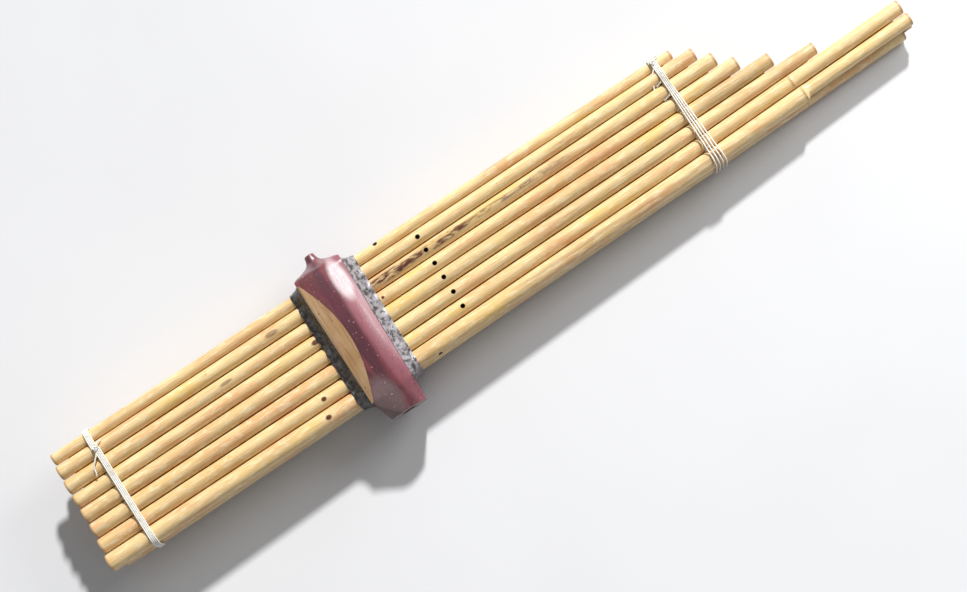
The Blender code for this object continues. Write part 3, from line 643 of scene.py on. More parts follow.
def pipe_mesh(row, number):
    """The cane's wall, wavering a little in width, with its holes and slots cut."""
    sides = sizes().pipe_sides
    seed = number * WAVER_SEEDS[0] + row * WAVER_SEEDS[1]
    foot, tip = pipe_ends(row, number)
    outer = []
    for x, inset, ridge in pipe_stations(row, number):
        waver = sizes().pipe_waver * noise.noise(Vector((x * WAVERS_PER_METRE, seed, 0.0)))
        radius = pipe_diameter(row, number, x) / 2 - inset - abs(waver)
        outer.append(ring_about(pipe_centre(row, number, x), radius, sides, ridge, row))
    bore = []
    for x in (foot, 0.0, UPPER_BINDING_X, tip):
        radius = pipe_diameter(row, number, x) / 2 - PIPE_WALL
        bore.append(ring_about(pipe_centre(row, number, x), radius, sides))
    bm = bmesh.new()
    outer_rows = [[bm.verts.new(point) for point in ring] for ring in outer]
    bore_rows = [[bm.verts.new(point) for point in ring] for ring in bore]
    for rows in (outer_rows, bore_rows):
        for first, second in zip(rows, rows[1:]):
            join_rings(bm, first, second)
    for end in (0, -1):
        join_rings(bm, outer_rows[end], bore_rows[end])
    return carve(mesh_from(f"{ROW_NAMES[row]}_pipe_{number}", bm), pipe_cutters(row, number))


def slot_cutter(x, y, size, heights):
    """A box about (x, y), its size along and across the pipe, between two heights."""
    length, width = size
    low, high = sorted(heights)
    return block((x - length / 2, y - width / 2, low), (x + length / 2, y + width / 2, high))


def pipe_cutters(row, number):
    """The reed's seat and window, the finger hole and the two tuning slots."""
    centre = pipe_centre(row, number, 0.0)
    radius = pipe_diameter(row, number, 0.0) / 2
    seat_z = crown(row, number, 0.0) - row * REED_SEAT_DEPTH
    seat_size = (REED_SEAT_LENGTH, 4 * radius)
    middle, way = finger_hole(row, number)
    reach = pipe_diameter(row, number, middle.x)
    cutters = [
        slot_cutter(0.0, centre.y, seat_size, (seat_z, seat_z + row * 2 * radius)),
        slot_cutter(0.0, centre.y, REED_WINDOW, (centre.z, seat_z + row * radius)),
        rod(middle, middle + way * reach, FINGER_HOLE_DIAMETER, FINGER_HOLE_SIDES),
    ]
    for first, step in (UPPER_TUNING, LOWER_TUNING):
        x = first + step * (number - 1)
        centre = pipe_centre(row, number, x)
        inner = centre.z - row * pipe_diameter(row, number, x)
        cutters.append(slot_cutter(x, centre.y, TUNING_SLOT, (centre.z, inner)))
    return cutters


def stain(made, number, fibre, blotch):
    """Marks on a left-row cane, the long ones broken into streaks."""
    for pipe, x, along, across, strength in MARKS:
        if pipe != number:
            continue
        streaks = []
        if along > LONG_MARK and pipe == BLOTCHED_PIPE:
            streaks = [made.ramp(blotch, 0.40, 0.60, 0.25, 1.0)]
        elif along > LONG_MARK:
            streaks = [made.ramp(fibre, 0.30, 0.70, 0.55, 1.0)]
        top = (x, pipe_centre(LEFT, number, x).y, crown(LEFT, number, x))
        where = (top, (along, across, MARK_DEPTH), 2.0)
        made.patch(tuple(colours().stain), where, *streaks, strength)


def bamboo_finish(row, number):
    """Cane skin: fibres along the pipe, mottled gold and pink, stains, and a scorched hole."""
    chance = random.Random(number * 2 + (row == LEFT))
    made = Finish(f"bamboo_{ROW_NAMES[row]}_{number}")
    fibre = made.noise(900.0, (0.012, 1.0, 1.0), 3.0, 0.6)
    cloud = made.noise(14.0 + chance.random() * 8, (0.55, 1.6, 1.0), 5.0, 0.6, 0.4)
    patch = made.noise(30.0 + chance.random() * 12, (0.30, 1.2, 1.2), 3.0, 0.5, 0.8)
    speck = made.noise(420.0, (0.45, 1.0, 1.0), 2.0, 0.4)
    blotch = made.noise(330.0, (0.30, 1.0, 1.0), 3.0, 0.6, 0.5)
    made.colour = Vector(colours().bamboo) * (0.92 + 0.14 * chance.random())
    made.tint(Vector(colours().bamboo_tan), cloud, 0.42, 0.78, 0.05 + 0.10 * chance.random(), 0.62)
    made.tint(PINK_CANE, patch, 0.48, 0.66, 0.0, 0.70)
    made.tint(GOLDEN_CANE, patch, 0.44, 0.30, 0.0, 0.55)
    made.tint(PALE_CANE, blotch, 0.46, 0.68, 0.0, 0.60)
    made.tint(CANE_FIBRE, fibre, 0.40, 0.75, 0.0, 0.42)
    made.tint(CANE_SPECK, speck, 0.74, 0.80, 0.0, 0.55)
    if row == LEFT:
        stain(made, number, fibre, blotch)
    middle, way = finger_hole(row, number)
    rim = middle + way * (pipe_diameter(row, number, middle.x) / 2)
    made.patch(SCORCHED_RIM, (rim, (0.0019, 0.0019, 0.0019), 1.25))
    for reach in pipe_ends(row, number):
        end = pipe_centre(row, number, reach)
        made.patch(CUT_CANE, (end, (0.0012, 0.02, 0.02), 2.4))
    if number <= len(UPPER_JOINT_X):
        joint = pipe_centre(row, number, UPPER_JOINT_X[number - 1])
        made.patch(JOINT_BROWN, (joint, (0.0006, 0.02, 0.02), 3.0), 0.35)
    made.bump(fibre, 0.00008, 0.5)
    return made.done(made.ramp(cloud, 0.3, 0.7, 0.30, 0.46), coat=0.12)


def bore_finish():
    """Soft pith inside the canes, darkened as painted shade inside the bore."""
    made = Finish("bamboo_bore")
    pith = made.noise(500.0, (0.05, 1.0, 1.0), 3.0)
    # Pith colour darkened as painted shade inside the bore
    made.colour = PITH_AND_BORE_SHADE
    made.tint(PALE_PITH, pith, 0.3, 0.7)
    made.bump(pith, 0.0001, 0.5)
    return made.done(0.8, level=0.2)


def paint_bore(mesh, row, number):
    """The second finish on faces that look at the pipe's own axis."""
    for face in mesh.polygons:
        centre = pipe_centre(row, number, face.center.x)
        spoke = face.center - centre
        spoke.x = 0.0
        inside = spoke.length < pipe_diameter(row, number, face.center.x) / 2 - BORE_PAINT_DEPTH
        face.material_index = 1 if inside and face.normal.dot(spoke) < 0 else 0


def chest_face(side, y):
    if side < 0:
        return -HALF_DEPTH
    return float(np.interp(y, (SLOT_LOW, SLOT_HIGH), (TIP_FACE_AT_MOUTH, HALF_DEPTH)))


def chest_outline(y):
    """Crest height, height at the foot edge and at the tip edge, and X of both edges, at y."""
    low, high = SLOT_LOW, SLOT_HIGH
    wall_height = SLOT_HALF_HEIGHT + SLOT_END_WALL
    across = (2 * y - low - high) / (high - low)
    swell = max(0.0, 1 - across * across)
    crest = wall_height + (BELLY_HEIGHT - wall_height) * swell
    foot_drop = EDGE_DROP_AT_ENDS + (FOOT_EDGE_DROP - EDGE_DROP_AT_ENDS) * swell
    tip_drop = EDGE_DROP_AT_ENDS + (TIP_EDGE_DROP - EDGE_DROP_AT_ENDS) * swell
    foot_x = chest_face(-1, y)
    tip_x = chest_face(1, y)
    if y < low:
        along = (low - y) / MOUTH_BLOCK
        crest += (MOUTH_HEIGHT - crest) * along
        foot_drop += (MOUTH_EDGE_DROP - foot_drop) * along
        tip_drop += (MOUTH_EDGE_DROP - tip_drop) * along
        foot_x += (-MOUTH_FOOT_SIDE - foot_x) * along
        tip_x += (MOUTH_TIP_SIDE - tip_x) * along
    if y > high:
        crest += (NIPPLE_SHOULDER_HEIGHT - crest) * (y - high) / NIPPLE_BLOCK
    return crest, crest - foot_drop, crest - tip_drop, foot_x, tip_x


def chest_section(y):
    crest, foot_height, tip_height, foot_x, tip_x = chest_outline(y)
    upper = []
    points = sizes().chest_points
    for i in range(points):
        turn = math.pi * i / (points - 1)
        x = (foot_x + tip_x) / 2 - (tip_x - foot_x) / 2 * math.cos(turn)
        edge_x, edge_height = (foot_x, foot_height) if x < CREST_X else (tip_x, tip_height)
        away = abs((x - CREST_X) / (edge_x - CREST_X))
        upper.append(Vector((x, y, crest - (crest - edge_height) * away ** CREST_POWER)))
    lower = [Vector((point.x, point.y, -point.z)) for point in reversed(upper)]
    return upper + lower


def nipple_section(shoulder, rise, half_width):
    share = (HALF_DEPTH - half_width) / (HALF_DEPTH - NIPPLE_RADIUS)
    ring = []
    for i, point in enumerate(shoulder):
        turn = math.pi - 2 * math.pi * (i + 0.5) / len(shoulder)
        small = point * (half_width / HALF_DEPTH)
        round_end = Vector((math.cos(turn), 0.0, math.sin(turn))) * half_width
        blended = small.lerp(round_end, min(1.0, share * share))
        ring.append(Vector((blended.x, point.y + rise, blended.z)))
    return ring


def chest_mesh():
    mouth_y = SLOT_LOW - MOUTH_BLOCK
    shoulder_y = SLOT_HIGH + NIPPLE_BLOCK
    stations = np.linspace(mouth_y, SLOT_LOW, MOUTH_RINGS).tolist()
    stations += np.linspace(SLOT_LOW, SLOT_HIGH, BELLY_RINGS).tolist()[1:]
    stations += np.linspace(SLOT_HIGH, shoulder_y, SHOULDER_RINGS).tolist()[1:]
    rings = [chest_section(y) for y in stations]
    shoulder = rings[-1]
    for rise in np.linspace(NIPPLE_FIRST_RISE, NIPPLE_RISES[-1], NIPPLE_RINGS).tolist():
        width = float(np.interp(rise, NIPPLE_RISES, NIPPLE_WIDTHS))
        rings.append(nipple_section(shoulder, rise, width))
    cutters = []
    along = Vector((math.cos(BEVEL_ANGLE), 0.0, math.sin(BEVEL_ANGLE)))
    across = Vector((0.0, 1.0, 0.0))
    reach = shoulder_y - mouth_y
    for side in (LEFT, RIGHT):
        point = Vector((-HALF_DEPTH, 0.0, side * BEVEL_FACE_HEIGHT))
        edge = Vector((along.x, 0.0, side * along.z))
        cutters.append(plane_cutter(point, edge, across * side, reach))
    corner = chest_section(SLOT_LOW)[0]
    for side in (LEFT, RIGHT):
        start = Vector((corner.x, corner.y, side * corner.z))
        outer = Vector((-MOUTH_FOOT_SIDE, mouth_y, side * (MOUTH_HEIGHT - MOUTH_FACET_DROP)))
        inner = Vector((MOUTH_FACET_WIDTH - MOUTH_FOOT_SIDE, mouth_y, side * MOUTH_HEIGHT))
        cutters.append(plane_cutter(outer, inner - outer, (start - outer) * side, reach))
    cutters.append(block((-reach, SLOT_LOW, -SLOT_HALF_HEIGHT), (reach, SLOT_HIGH, SLOT_HALF_HEIGHT)))
    start = Vector((0.0, mouth_y - MOUTH_BLOCK / 2, 0.0))
    end = Vector((0.0, SLOT_LOW + BLOW_HOLE_OVERRUN, 0.0))
    cutters.append(rod(start, end, BLOW_HOLE_DIAMETER, BLOW_HOLE_SIDES))
    point = Vector((CREST_X, 0.0, BELLY_FLAT_DEPTH - BELLY_HEIGHT))
    cutters.append(plane_cutter(point, Vector((-1.0, 0.0, -math.tan(REST_ANGLE))), across, reach))
    return carve(mesh_from("wind_chest", loft(rings)), cutters)


def paint_bevel(mesh):
    """The second finish on the two flat bevels of the foot side."""
    for face in mesh.polygons:
        normal = face.normal
        steep = abs(normal.x + math.sin(BEVEL_ANGLE)) < BEVEL_TOLERANCE
        level = abs(abs(normal.z) - math.cos(BEVEL_ANGLE)) < BEVEL_TOLERANCE
        face.material_index = 1 if steep and level else 0


def hardwood_finish():
    """Oiled dark red wood with grain along the chest, pores and chips, and painted light: a lit slope, a
    shaded ridge, a pale sheen broken by the grain, and a grey sky reflection.
    """
    made = Finish("hardwood")
    grain = made.noise(260.0, (1.0, 0.10, 1.0), 5.0, 0.6, 0.6)
    figure = made.noise(45.0, (1.0, 0.28, 1.0), 4.0, 0.6, 1.2)
    pores = made.noise(1500.0, (1.0, 0.08, 1.0), 2.0, 0.5)
    chips = made.noise(480.0, (1.0, 0.9, 1.0), 1.0, 0.4)
    wood = Vector(colours().hardwood)
    made.colour = wood
    made.tint(wood * 1.75, figure, 0.35, 0.70)
    made.tint(wood * 0.42, grain, 0.42, 0.72, 0.0, 0.65)
    # Painted light: pink on the tip-side slope, which faces the light
    made.patch(PAINTED_SLOPE_LIGHT, SLOPE_PATCH, 0.60)
    # Painted shade: darker purple on the crest, which faces away from the light
    made.patch(PAINTED_RIDGE_SHADE, RIDGE_PATCH, 0.60)
    # Painted highlight: a pale sheen near the nipple end, broken up by the grain
    made.patch(PAINTED_WOOD_SHEEN, PAINTED_SHEEN_PATCH, made.ramp(grain, 0.25, 0.60, 0.95, 0.60))
    # Painted reflection: grey sky mirrored on the facet at the mouth end
    made.patch(PAINTED_SKY_REFLECTION, FACET_PATCH, 0.70)
    made.tint(WOOD_CHIP, chips, 0.70, 0.76, 0.0, 0.6)
    made.tint(WOOD_PORE, pores, 0.62, 0.72, 0.0, 0.7)
    made.bump(made.maths("ADD", pores, grain), 0.00012, 0.45)
    return made.done(made.ramp(grain, 0.3, 0.7, 0.26, 0.44), level=0.7, coat=0.6)


def sapwood_finish():
    """Pale cut face of the bevel, scraped along its length and specked with brown."""
    made = Finish("sapwood")
    grain = made.noise(420.0, (1.0, 0.06, 1.0), 4.0, 0.6, 0.3)
    cloud = made.noise(60.0, (1.0, 0.4, 1.0), 4.0, 0.6, 0.5)
    speck = made.noise(260.0, (1.0, 0.7, 1.0), 2.0, 0.4)
    made.colour = Vector(colours().sapwood)
    made.tint(LIGHT_SAPWOOD, cloud, 0.35, 0.68)
    made.tint(SAPWOOD_GRAIN, grain, 0.45, 0.72, 0.0, 0.55)
    made.tint(SAPWOOD_SPECK, speck, 0.70, 0.76, 0.0, 0.8)
    made.bump(grain, 0.0001, 0.4)
    return made.done(0.45, level=0.4)


def wax_finish():
    """Dark wax with a painted grey highlight over its lumps on the tip side, and dust in its hollows."""
    made = Finish("wax")
    lump = made.noise(240.0, detail=5.0, roughness=0.6)
    dust = made.noise(700.0, detail=3.0, roughness=0.6)
    wax = Vector(colours().wax)
    made.colour = wax * 0.5
    made.tint(wax * 2.4, lump, 0.40, 0.66)
    # Painted highlight: grey on the lumps' tops on the tip side, the wax's own dark between them
    painted_wax_highlight = made.mix(made.ramp(lump, 0.38, 0.56), WAX_HOLLOW, PAINTED_WAX_HIGHLIGHT)
    made.patch(painted_wax_highlight, TIPWARD_WAX)
    made.tint(WAX_DUST, dust, 0.64, 0.78, 0.0, 0.30)
    made.bump(made.maths("ADD", lump, dust), 0.0006, 0.7)
    return made.done(made.ramp(lump, 0.3, 0.7, 0.18, 0.48), level=0.6, coat=0.2)


def bronze_finish(name, brightness):
    """Reed metal with file marks along it and brown tarnish."""
    made = Finish(name)
    file_marks = made.noise(2600.0, (0.06, 1.0, 1.0), 3.0, 0.6)
    tarnish = made.noise(420.0, roughness=0.6)
    made.colour = Vector(colours().bronze) * brightness
    made.tint(BRONZE_TARNISH, tarnish, 0.45, 0.75, 0.0, 0.6)
    made.bump(file_marks, 0.00003, 0.5)
    return made.done(made.ramp(file_marks, 0.3, 0.7, 0.24, 0.42), metallic=1.0)


def cotton_finish():
    """Undyed cord, soiled in places and fluffy."""
    made = Finish("cotton")
    fluff = made.noise(2200.0, detail=3.0, roughness=0.6)
    soil = made.noise(120.0, roughness=0.6)
    made.colour = Vector(colours().cotton)
    made.tint(COTTON_SOIL, soil, 0.48, 0.75, 0.0, 0.6)
    made.tint(COTTON_SHADE, fluff, 0.35, 0.6, 0.35, 0.0)
    made.bump(fluff, 0.00015, 0.6)
    made.fill(made.shader, Sheen_Weight=0.25)
    return made.done(0.9, level=0.2)


def hugging_half(row, x):
    """(y, z) round one row of pipes at x, a wax skin above them, from nipple side to mouth side."""
    crest = []
    for number in reversed(PIPE_NUMBERS):
        centre = pipe_centre(row, number, x)
        radius = pipe_diameter(row, number, x) / 2
        top = abs(centre.z) + radius + WAX_SKIN
        if crest:
            valley = centre.y + radius + PIPE_GAP / 2
            crest.append((valley, min(top, crest[-1][1]) - WAX_VALLEY))
        crest.append((centre.y, top))
    sides = []
    for number, outward in ((PIPE_COUNT, 1), (1, -1)):
        centre = pipe_centre(row, number, x)
        reach = pipe_diameter(row, number, x) / 2 + WAX_SKIN
        slant = reach * math.sqrt(0.5)
        sides.append([
            (centre.y + outward * (reach - WAX_VALLEY), 0.0),
            (centre.y + outward * reach, abs(centre.z)),
            (centre.y + outward * slant, abs(centre.z) + slant),
        ])
    nipple, mouth = sides
    return [(y, row * z) for y, z in nipple + crest + mouth[::-1]]


def slot_half(row, grow, corner, crest):
    top = SLOT_HALF_HEIGHT + grow
    high = SLOT_HIGH + grow
    low = SLOT_LOW - grow
    nipple = [(high, 0.0), (high, top / 2), (high - corner, top - corner)]
    mouth = [(low + corner, top - corner), (low, top / 2), (low, 0.0)]
    return [(y, row * z) for y, z in nipple + [(y, top) for y, z in crest] + mouth]


def wax_rings(side):
    """Closed outlines of the wax: its plug in the slot, the flange over the rim, the slope down."""
    end = side * (HALF_DEPTH + WAX_REACH)
    hugging = [hugging_half(row, end) for row in (LEFT, RIGHT)]
    outlines = []
    for offset, grow, corner in (
        (-WAX_PLUG_DEPTH, -WAX_GAP, 0.0), (WAX_GAP, -WAX_GAP, 0.0), (WAX_GAP, WAX_FLANGE, WAX_FLANGE),
    ):
        halves = [slot_half(row, grow, corner, half[3:-3]) for row, half in zip((LEFT, RIGHT), hugging)]
        outlines.append((offset, halves))
    flange = outlines[-1][1]
    for reach, share in WAX_SLOPE:
        halves = []
        for start_half, end_half in zip(flange, hugging):
            pairs = zip(np.array(start_half), np.array(end_half))
            halves.append([tuple(a + (b - a) * share) for a, b in pairs])
        outlines.append((WAX_GAP + (WAX_REACH - WAX_GAP) * reach, halves))
    rings = []
    for offset, (left, right) in outlines:
        outline = left + right[-2:0:-1]
        rings.append([(chest_face(side, y) + side * offset, y, z) for y, z in outline])
    return rings


def press_lumps(bm, side):
    """Moves the wax outside the chest in and out, as thumbs leave it."""
    moves = {}
    for vert in bm.verts:
        outside = side * (vert.co.x - chest_face(side, vert.co.y)) - WAX_GAP
        if outside > WAX_STILL_EDGE:
            lump = sum(noise.noise(vert.co * scale) * share for scale, share in WAX_LUMPS)
            moves[vert] = vert.normal * (sizes().wax_lump * (lump - WAX_LUMP_LEVEL))
    for vert, move in moves.items():
        vert.co += move


def pipe_tunnels(side):
    """Cutters for the sixteen pipes, a little wider than they are."""
    cutter = bmesh.new()
    for row, number in ALL_PIPES:
        tube = []
        for x in (side * (HALF_DEPTH - 2 * WAX_PLUG_DEPTH), side * (HALF_DEPTH + 2 * WAX_REACH)):
            radius = pipe_diameter(row, number, x) / 2 + WAX_FIT
            tube.append(ring_about(pipe_centre(row, number, x), radius, WAX_TUNNEL_SIDES))
        loft(tube, cutter)
    return cutter


def wax_mesh(name, side):
    """Wax over the slot's rim and down onto the pipes."""
    bm = loft(wax_rings(side))
    bmesh.ops.recalc_face_normals(bm, faces=bm.faces)
    edges = [edge for edge in bm.edges if edge.calc_length() > WAX_LONG_EDGE]
    bmesh.ops.subdivide_edges(bm, edges=edges, cuts=WAX_CUTS, use_grid_fill=True, smooth=WAX_SMOOTHING)
    bmesh.ops.triangulate(bm, faces=[face for face in bm.faces if len(face.verts) > 4])
    bm.normal_update()
    press_lumps(bm, side)
    return carve(mesh_from(name, bm), [pipe_tunnels(side)])


def bundle_hull(x, offset):
    """(y, z) round both rows at x, as a cord pulled tight at this offset lies."""
    circles = []
    for row, number in ALL_PIPES:
        centre = pipe_centre(row, number, x)
        circles.append((centre.y, centre.z, pipe_diameter(row, number, x) / 2 + offset))
    hull = []
    for i in range(HULL_STEPS):
        turn = 2 * math.pi * i / HULL_STEPS
        cosine, sine = math.cos(turn), math.sin(turn)
        y, z, radius = max(circles, key=lambda c: c[0] * cosine + c[1] * sine + c[2])
        hull.append((y + radius * cosine, z + radius * sine))
    return hull


def resample(points, step):
    """The same line with points at an even step."""
    line = np.array([tuple(point) for point in points])
    lengths = np.linalg.norm(np.diff(line, axis=0), axis=1)
    reached = np.concatenate(([0.0], np.cumsum(lengths)))
    places = np.linspace(0.0, reached[-1], max(2, round(reached[-1] / step)))
    columns = [np.interp(places, reached, line[:, i]) for i in range(3)]
    return [Vector(point) for point in np.stack(columns, 1).tolist()]


def winding_path(x, pitch, fan, knot_y):
    """A cord wound tightly round both rows from its knot; fan spreads the turns towards the mouth."""
    hull = bundle_hull(x, CORD_CLEARANCE + sizes().cord_diameter / 2)
    upper = [i for i, (y, z) in enumerate(hull) if z >= 0]
    start = min(upper, key=lambda i: abs(hull[i][0] - knot_y))
    loop = hull[start::-1] + hull[:start:-1]
    nipple_side = max(y for y, z in loop)
    width = nipple_side - min(y for y, z in loop)
    path = []
    for i in range(CORD_TURNS * len(loop) + 1):
        y, z = loop[i % len(loop)]
        step = pitch + fan * ((nipple_side - y) / width) ** FAN_POWER
        path.append(Vector((x + step * (i / len(loop) - CORD_TURNS / 2), y, z)))
    return path


def tail_paths(knot):
    """The two ends of the cord, leaving the knot and drooping onto the canes."""
    diameter = sizes().cord_diameter
    tails = []
    for reach in TAIL_REACHES:
        tail = []
        for i in range(TAIL_STEPS + 1):
            share = i / TAIL_STEPS
            rise = TAIL_ARCH * math.sin(math.pi * share) - TAIL_DROOP * share
            bend = Vector((0.0, 0.0, diameter * rise))
            sway = Vector((TAIL_SWAY * math.sin(TAIL_HALF_WAVES * math.pi * share), 0.0, 0.0))
            tail.append(knot + Vector(reach) * share + bend + sway)
        tails.append(tail)
    return tails


def valley_stubs(x, dips):
    """Short strands that draw a binding at x down between neighbouring canes."""
    stubs = []
    for number, reach in dips:
        centre = pipe_centre(LEFT, number, x)
        radius = pipe_diameter(LEFT, number, x) / 2
        top = centre.z + radius + CORD_CLEARANCE
        valley = centre.y - radius - PIPE_GAP / 2
        stubs.append([
            Vector((x + reach * share, valley + away, top + rise)) for share, away, rise in STUB_POINTS
        ])
    return stubs


def twisted_cord(node, paths, material):
    """Two strands laid round each other along each path, standing for a CAD binding."""
    name = f"{node}_cord"
    diameter = sizes().cord_diameter
    curve = bpy.data.curves.new(name, "CURVE")
    curve.dimensions = "3D"
    curve.bevel_depth = diameter * STRAND_RADIUS
    curve.bevel_resolution = 2
    curve.use_fill_caps = True
    curve.materials.append(material)
    strands = [(resample(path, CORD_STEP), strand) for path in paths for strand in range(2)]
    for path, strand in strands:
        spline = curve.splines.new("POLY")
        spline.points.add(len(path) - 1)
        for i, point in enumerate(path):
            ahead = (path[min(i + 1, len(path) - 1)] - path[max(i - 1, 0)]).normalized()
            side = ahead.cross(Vector((0.3, 0.2, 1.0))).normalized()
            up = ahead.cross(side)
            turn = math.pi * strand + 2 * math.pi * i * CORD_STEP / TWIST_LENGTH
            offset = (side * math.cos(turn) + up * math.sin(turn)) * diameter * STRAND_OFFSET
            spline.points[i].co = (*(LAID_DOWN @ (point + offset)), 1.0)
    stand_for(bpy.data.objects.new(name, curve), node)


def knot_path(place, size):
    """A small overhand knot about a place."""
    points = []
    for i in range(KNOT_STEPS + 1):
        turn = 2 * math.pi * i / KNOT_STEPS
        reach = size * (2.0 + math.cos(3 * turn)) / 3
        flat = Vector((reach * math.cos(2 * turn), reach * math.sin(2 * turn), 0.0))
        points.append(place + flat + Vector((0.0, 0.0, size * KNOT_FLATNESS * math.sin(3 * turn))))
    return points


def slip_mesh():
    """The bamboo slip between the two pipes 1, a little rough along its outer edge."""
    trim = SLIP_TRIM
    rings = []
    for x in np.linspace(SLIP_FOOT_X, SLIP_TIP_X, SLIP_STATIONS).tolist():
        low = SLIP_CLEARANCE - row_half_gap(x)
        high = low + SLIP_THICKNESS
        radius = pipe_diameter(LEFT, 1, x) / 2
        drop = radius + row_half_gap(x) - high - SLIP_CLEARANCE
        inner = pipe_centre(LEFT, 1, x).y - math.sqrt(radius * radius - drop * drop)
        rag = noise.noise(Vector((x * RAGS_PER_METRE, 0.0, 0.0)))
        outer = inner - SLIP_WIDTH + SLIP_RAGGEDNESS * rag
        corners = (
            (inner, high - trim), (inner - trim, high), (outer + trim, high), (outer, high - trim),
            (outer, low + trim), (outer + trim, low), (inner - trim, low), (inner, low + trim),
        )
        rings.append([(x, y, z) for y, z in corners])
    return mesh_from("packing_slip", loft(rings))


def hang_lamp(light, place, way):
    """A lamp at a place that shines back along a way."""
    lamp = bpy.data.objects.new(light.name, light)
    lamp.location = place
    lamp.rotation_euler = way.to_track_quat("Z", "Y").to_euler()
    bpy.context.scene.collection.objects.link(lamp)


class KHAEN_OT_pipes(bpy.types.Operator):
    """Build the sixteen bamboo pipes"""

    bl_idname = "khaen.pipes"
    bl_label = "Pipes"

    def execute(self, context):
        bore = bore_finish()
        for row, number in ALL_PIPES:
            node = f"{ROW_NAMES[row]}_pipe_{number}"
            finishes = [bamboo_finish(row, number), bore]
            show(
                f"{node}_cane", pipe_mesh(row, number), finishes, node,
                paint=lambda mesh: paint_bore(mesh, row, number),
            )
        return {"FINISHED"}


class KHAEN_OT_reeds(bpy.types.Operator):
    """Finish the bronze reed frames and tongues"""

    bl_idname = "khaen.reeds"
    bl_label = "Reeds"

    def execute(self, context):
        plate = bronze_finish("reed_plate", brightness=0.85)
        tongue = bronze_finish("reed_tongue", brightness=1.1)
        for name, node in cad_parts.items():
            if "_reed_" in name:
                node.data.materials.clear()
                node.data.materials.append(tongue if "tongue" in name else plate)
        return {"FINISHED"}


class KHAEN_OT_chest(bpy.types.Operator):
    """Carve the wind chest"""

    bl_idname = "khaen.chest"
    bl_label = "Wind Chest"

    def execute(self, context):
        finishes = [hardwood_finish(), sapwood_finish()]
        show("carved_chest", chest_mesh(), finishes, "wind_chest", paint=paint_bevel)
        return {"FINISHED"}


class KHAEN_OT_wax(bpy.types.Operator):
    """Press the wax seals round the pipes"""

    bl_idname = "khaen.wax"
    bl_label = "Wax Seals"

    def execute(self, context):
        finish = wax_finish()
        for node, side in (("lower_wax_seal", -1), ("upper_wax_seal", 1)):
            show(f"{node}_pressed", wax_mesh(node, side), [finish], node, sharp=60.0)
        return {"FINISHED"}


class KHAEN_OT_bindings(bpy.types.Operator):
    """Wind the cotton bindings"""

    bl_idname = "khaen.bindings"
    bl_label = "Bindings"

    def execute(self, context):
        cotton = cotton_finish()
        diameter = sizes().cord_diameter
        for node, x, fan, knot_y, dips in (
            ("lower_binding", LOWER_BINDING_X, 0.0, LOWER_KNOT_Y, ()),
            ("upper_binding", UPPER_BINDING_X, UPPER_FAN, UPPER_KNOT_Y, VALLEY_STUBS),
        ):
            path = winding_path(x, diameter * CORD_PITCH, fan, knot_y)
            middle = path[0].lerp(path[-1], 0.5)
            above = middle + Vector((0.0, 0.0, diameter * KNOT_RISE))
            paths = [path, knot_path(above, diameter * KNOT_SIZE)]
            paths += tail_paths(middle) + valley_stubs(x, dips)
            twisted_cord(node, paths, cotton)
        return {"FINISHED"}


class KHAEN_OT_slip(bpy.types.Operator):
    """Wedge the bamboo slip between the two pipes 1"""

    bl_idname = "khaen.slip"
    bl_label = "Packing Slip"

    def execute(self, context):
        show("bamboo_slip", slip_mesh(), [bamboo_finish(RIGHT, 1)], "packing_slip")
        return {"FINISHED"}


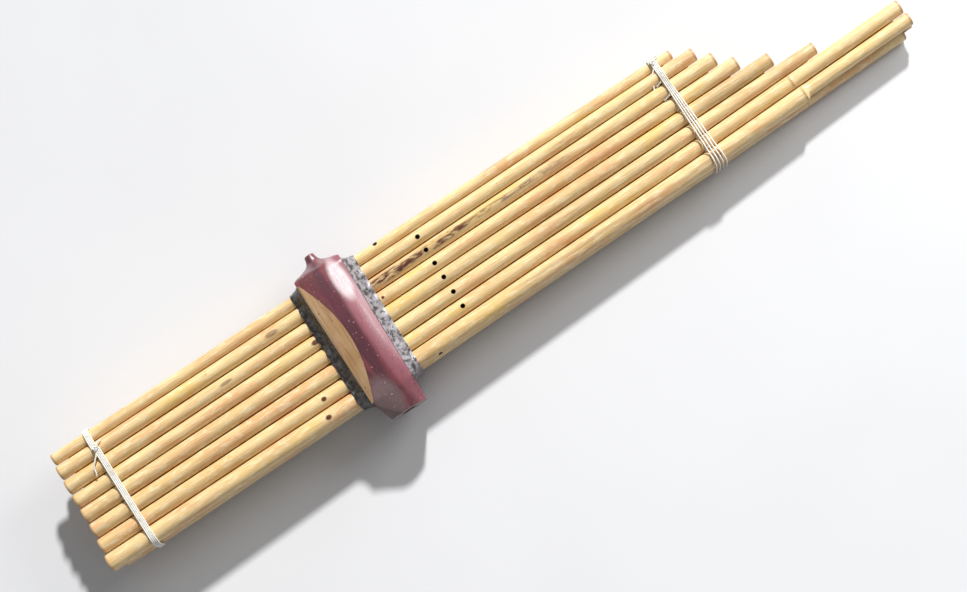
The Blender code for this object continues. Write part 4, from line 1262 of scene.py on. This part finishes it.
class KHAEN_OT_stage(bpy.types.Operator):
    """Lay the floor, hang the lights and place the camera"""

    bl_idname = "khaen.stage"
    bl_label = "Stage"

    def execute(self, context):
        scene = context.scene
        bm = bmesh.new()
        bmesh.ops.create_grid(bm, x_segments=2, y_segments=2, size=FLOOR_REACH)
        floor = bpy.data.objects.new("floor", mesh_from("floor", bm))
        scene.collection.objects.link(floor)
        paper = Finish("floor")
        tone = paper.noise(3.0, detail=3.0)
        paper.colour = DARK_FLOOR
        paper.tint(PALE_FLOOR, tone, 0.3, 0.7)
        floor.data.materials.append(paper.done(0.9, level=0.1))

        sun = bpy.data.lights.new("key", "SUN")
        sun.energy = SUN_STRENGTH
        sun.angle = SUN_SPREAD
        hang_lamp(sun, Vector(), SUN_WAY)

        area = bpy.data.lights.new("sheen", "AREA")
        area.energy = SHEEN_WATTS
        area.size = SHEEN_SIZE
        hang_lamp(area, SHEEN_PLACE, SHEEN_PLACE - LAID_DOWN.translation)

        world = bpy.data.worlds.new("studio")
        world.use_nodes = True
        background = world.node_tree.nodes["Background"]
        background.inputs["Color"].default_value = SKY
        background.inputs["Strength"].default_value = SKY_STRENGTH
        scene.world = world

        camera = bpy.data.cameras.new("view")
        camera.lens = CAMERA_LENS
        camera.sensor_width = CAMERA_SENSOR
        camera.clip_end = CAMERA_SIGHT
        eye = bpy.data.objects.new("view", camera)
        turn = Matrix.Rotation(CAMERA_TURN.length, 4, CAMERA_TURN.normalized())
        eye.matrix_world = turn @ Matrix.Translation(CAMERA_SHIFT)
        scene.collection.objects.link(eye)
        scene.camera = eye
        scene.view_settings.view_transform = "Standard"
        return {"FINISHED"}


class KHAEN_PT_panel(bpy.types.Panel):
    """Lists the steps that build the khaen"""

    bl_label = "Khaen"
    bl_space_type = "VIEW_3D"
    bl_region_type = "UI"
    bl_category = "Khaen"

    def draw(self, context):
        for step in STEPS:
            self.layout.operator(step.bl_idname)
        for group in (context.scene.khaen_sizes, context.scene.khaen_colours):
            for name in group.__annotations__:
                self.layout.prop(group, name)


STEPS = (
    KHAEN_OT_stage, KHAEN_OT_pipes, KHAEN_OT_reeds, KHAEN_OT_chest,
    KHAEN_OT_wax, KHAEN_OT_bindings, KHAEN_OT_slip,
)
CLASSES = (KhaenSizes, KhaenColours) + STEPS + (KHAEN_PT_panel,)


def register():
    for each in CLASSES:
        bpy.utils.register_class(each)
    bpy.types.Scene.khaen_sizes = bpy.props.PointerProperty(type=KhaenSizes)
    bpy.types.Scene.khaen_colours = bpy.props.PointerProperty(type=KhaenColours)


def unregister():
    del bpy.types.Scene.khaen_sizes
    del bpy.types.Scene.khaen_colours
    for each in reversed(CLASSES):
        bpy.utils.unregister_class(each)


def main():
    register()
    for step in STEPS:
        group, name = step.bl_idname.split(".")
        getattr(getattr(bpy.ops, group), name)()


if __name__ == "__main__":
    main()
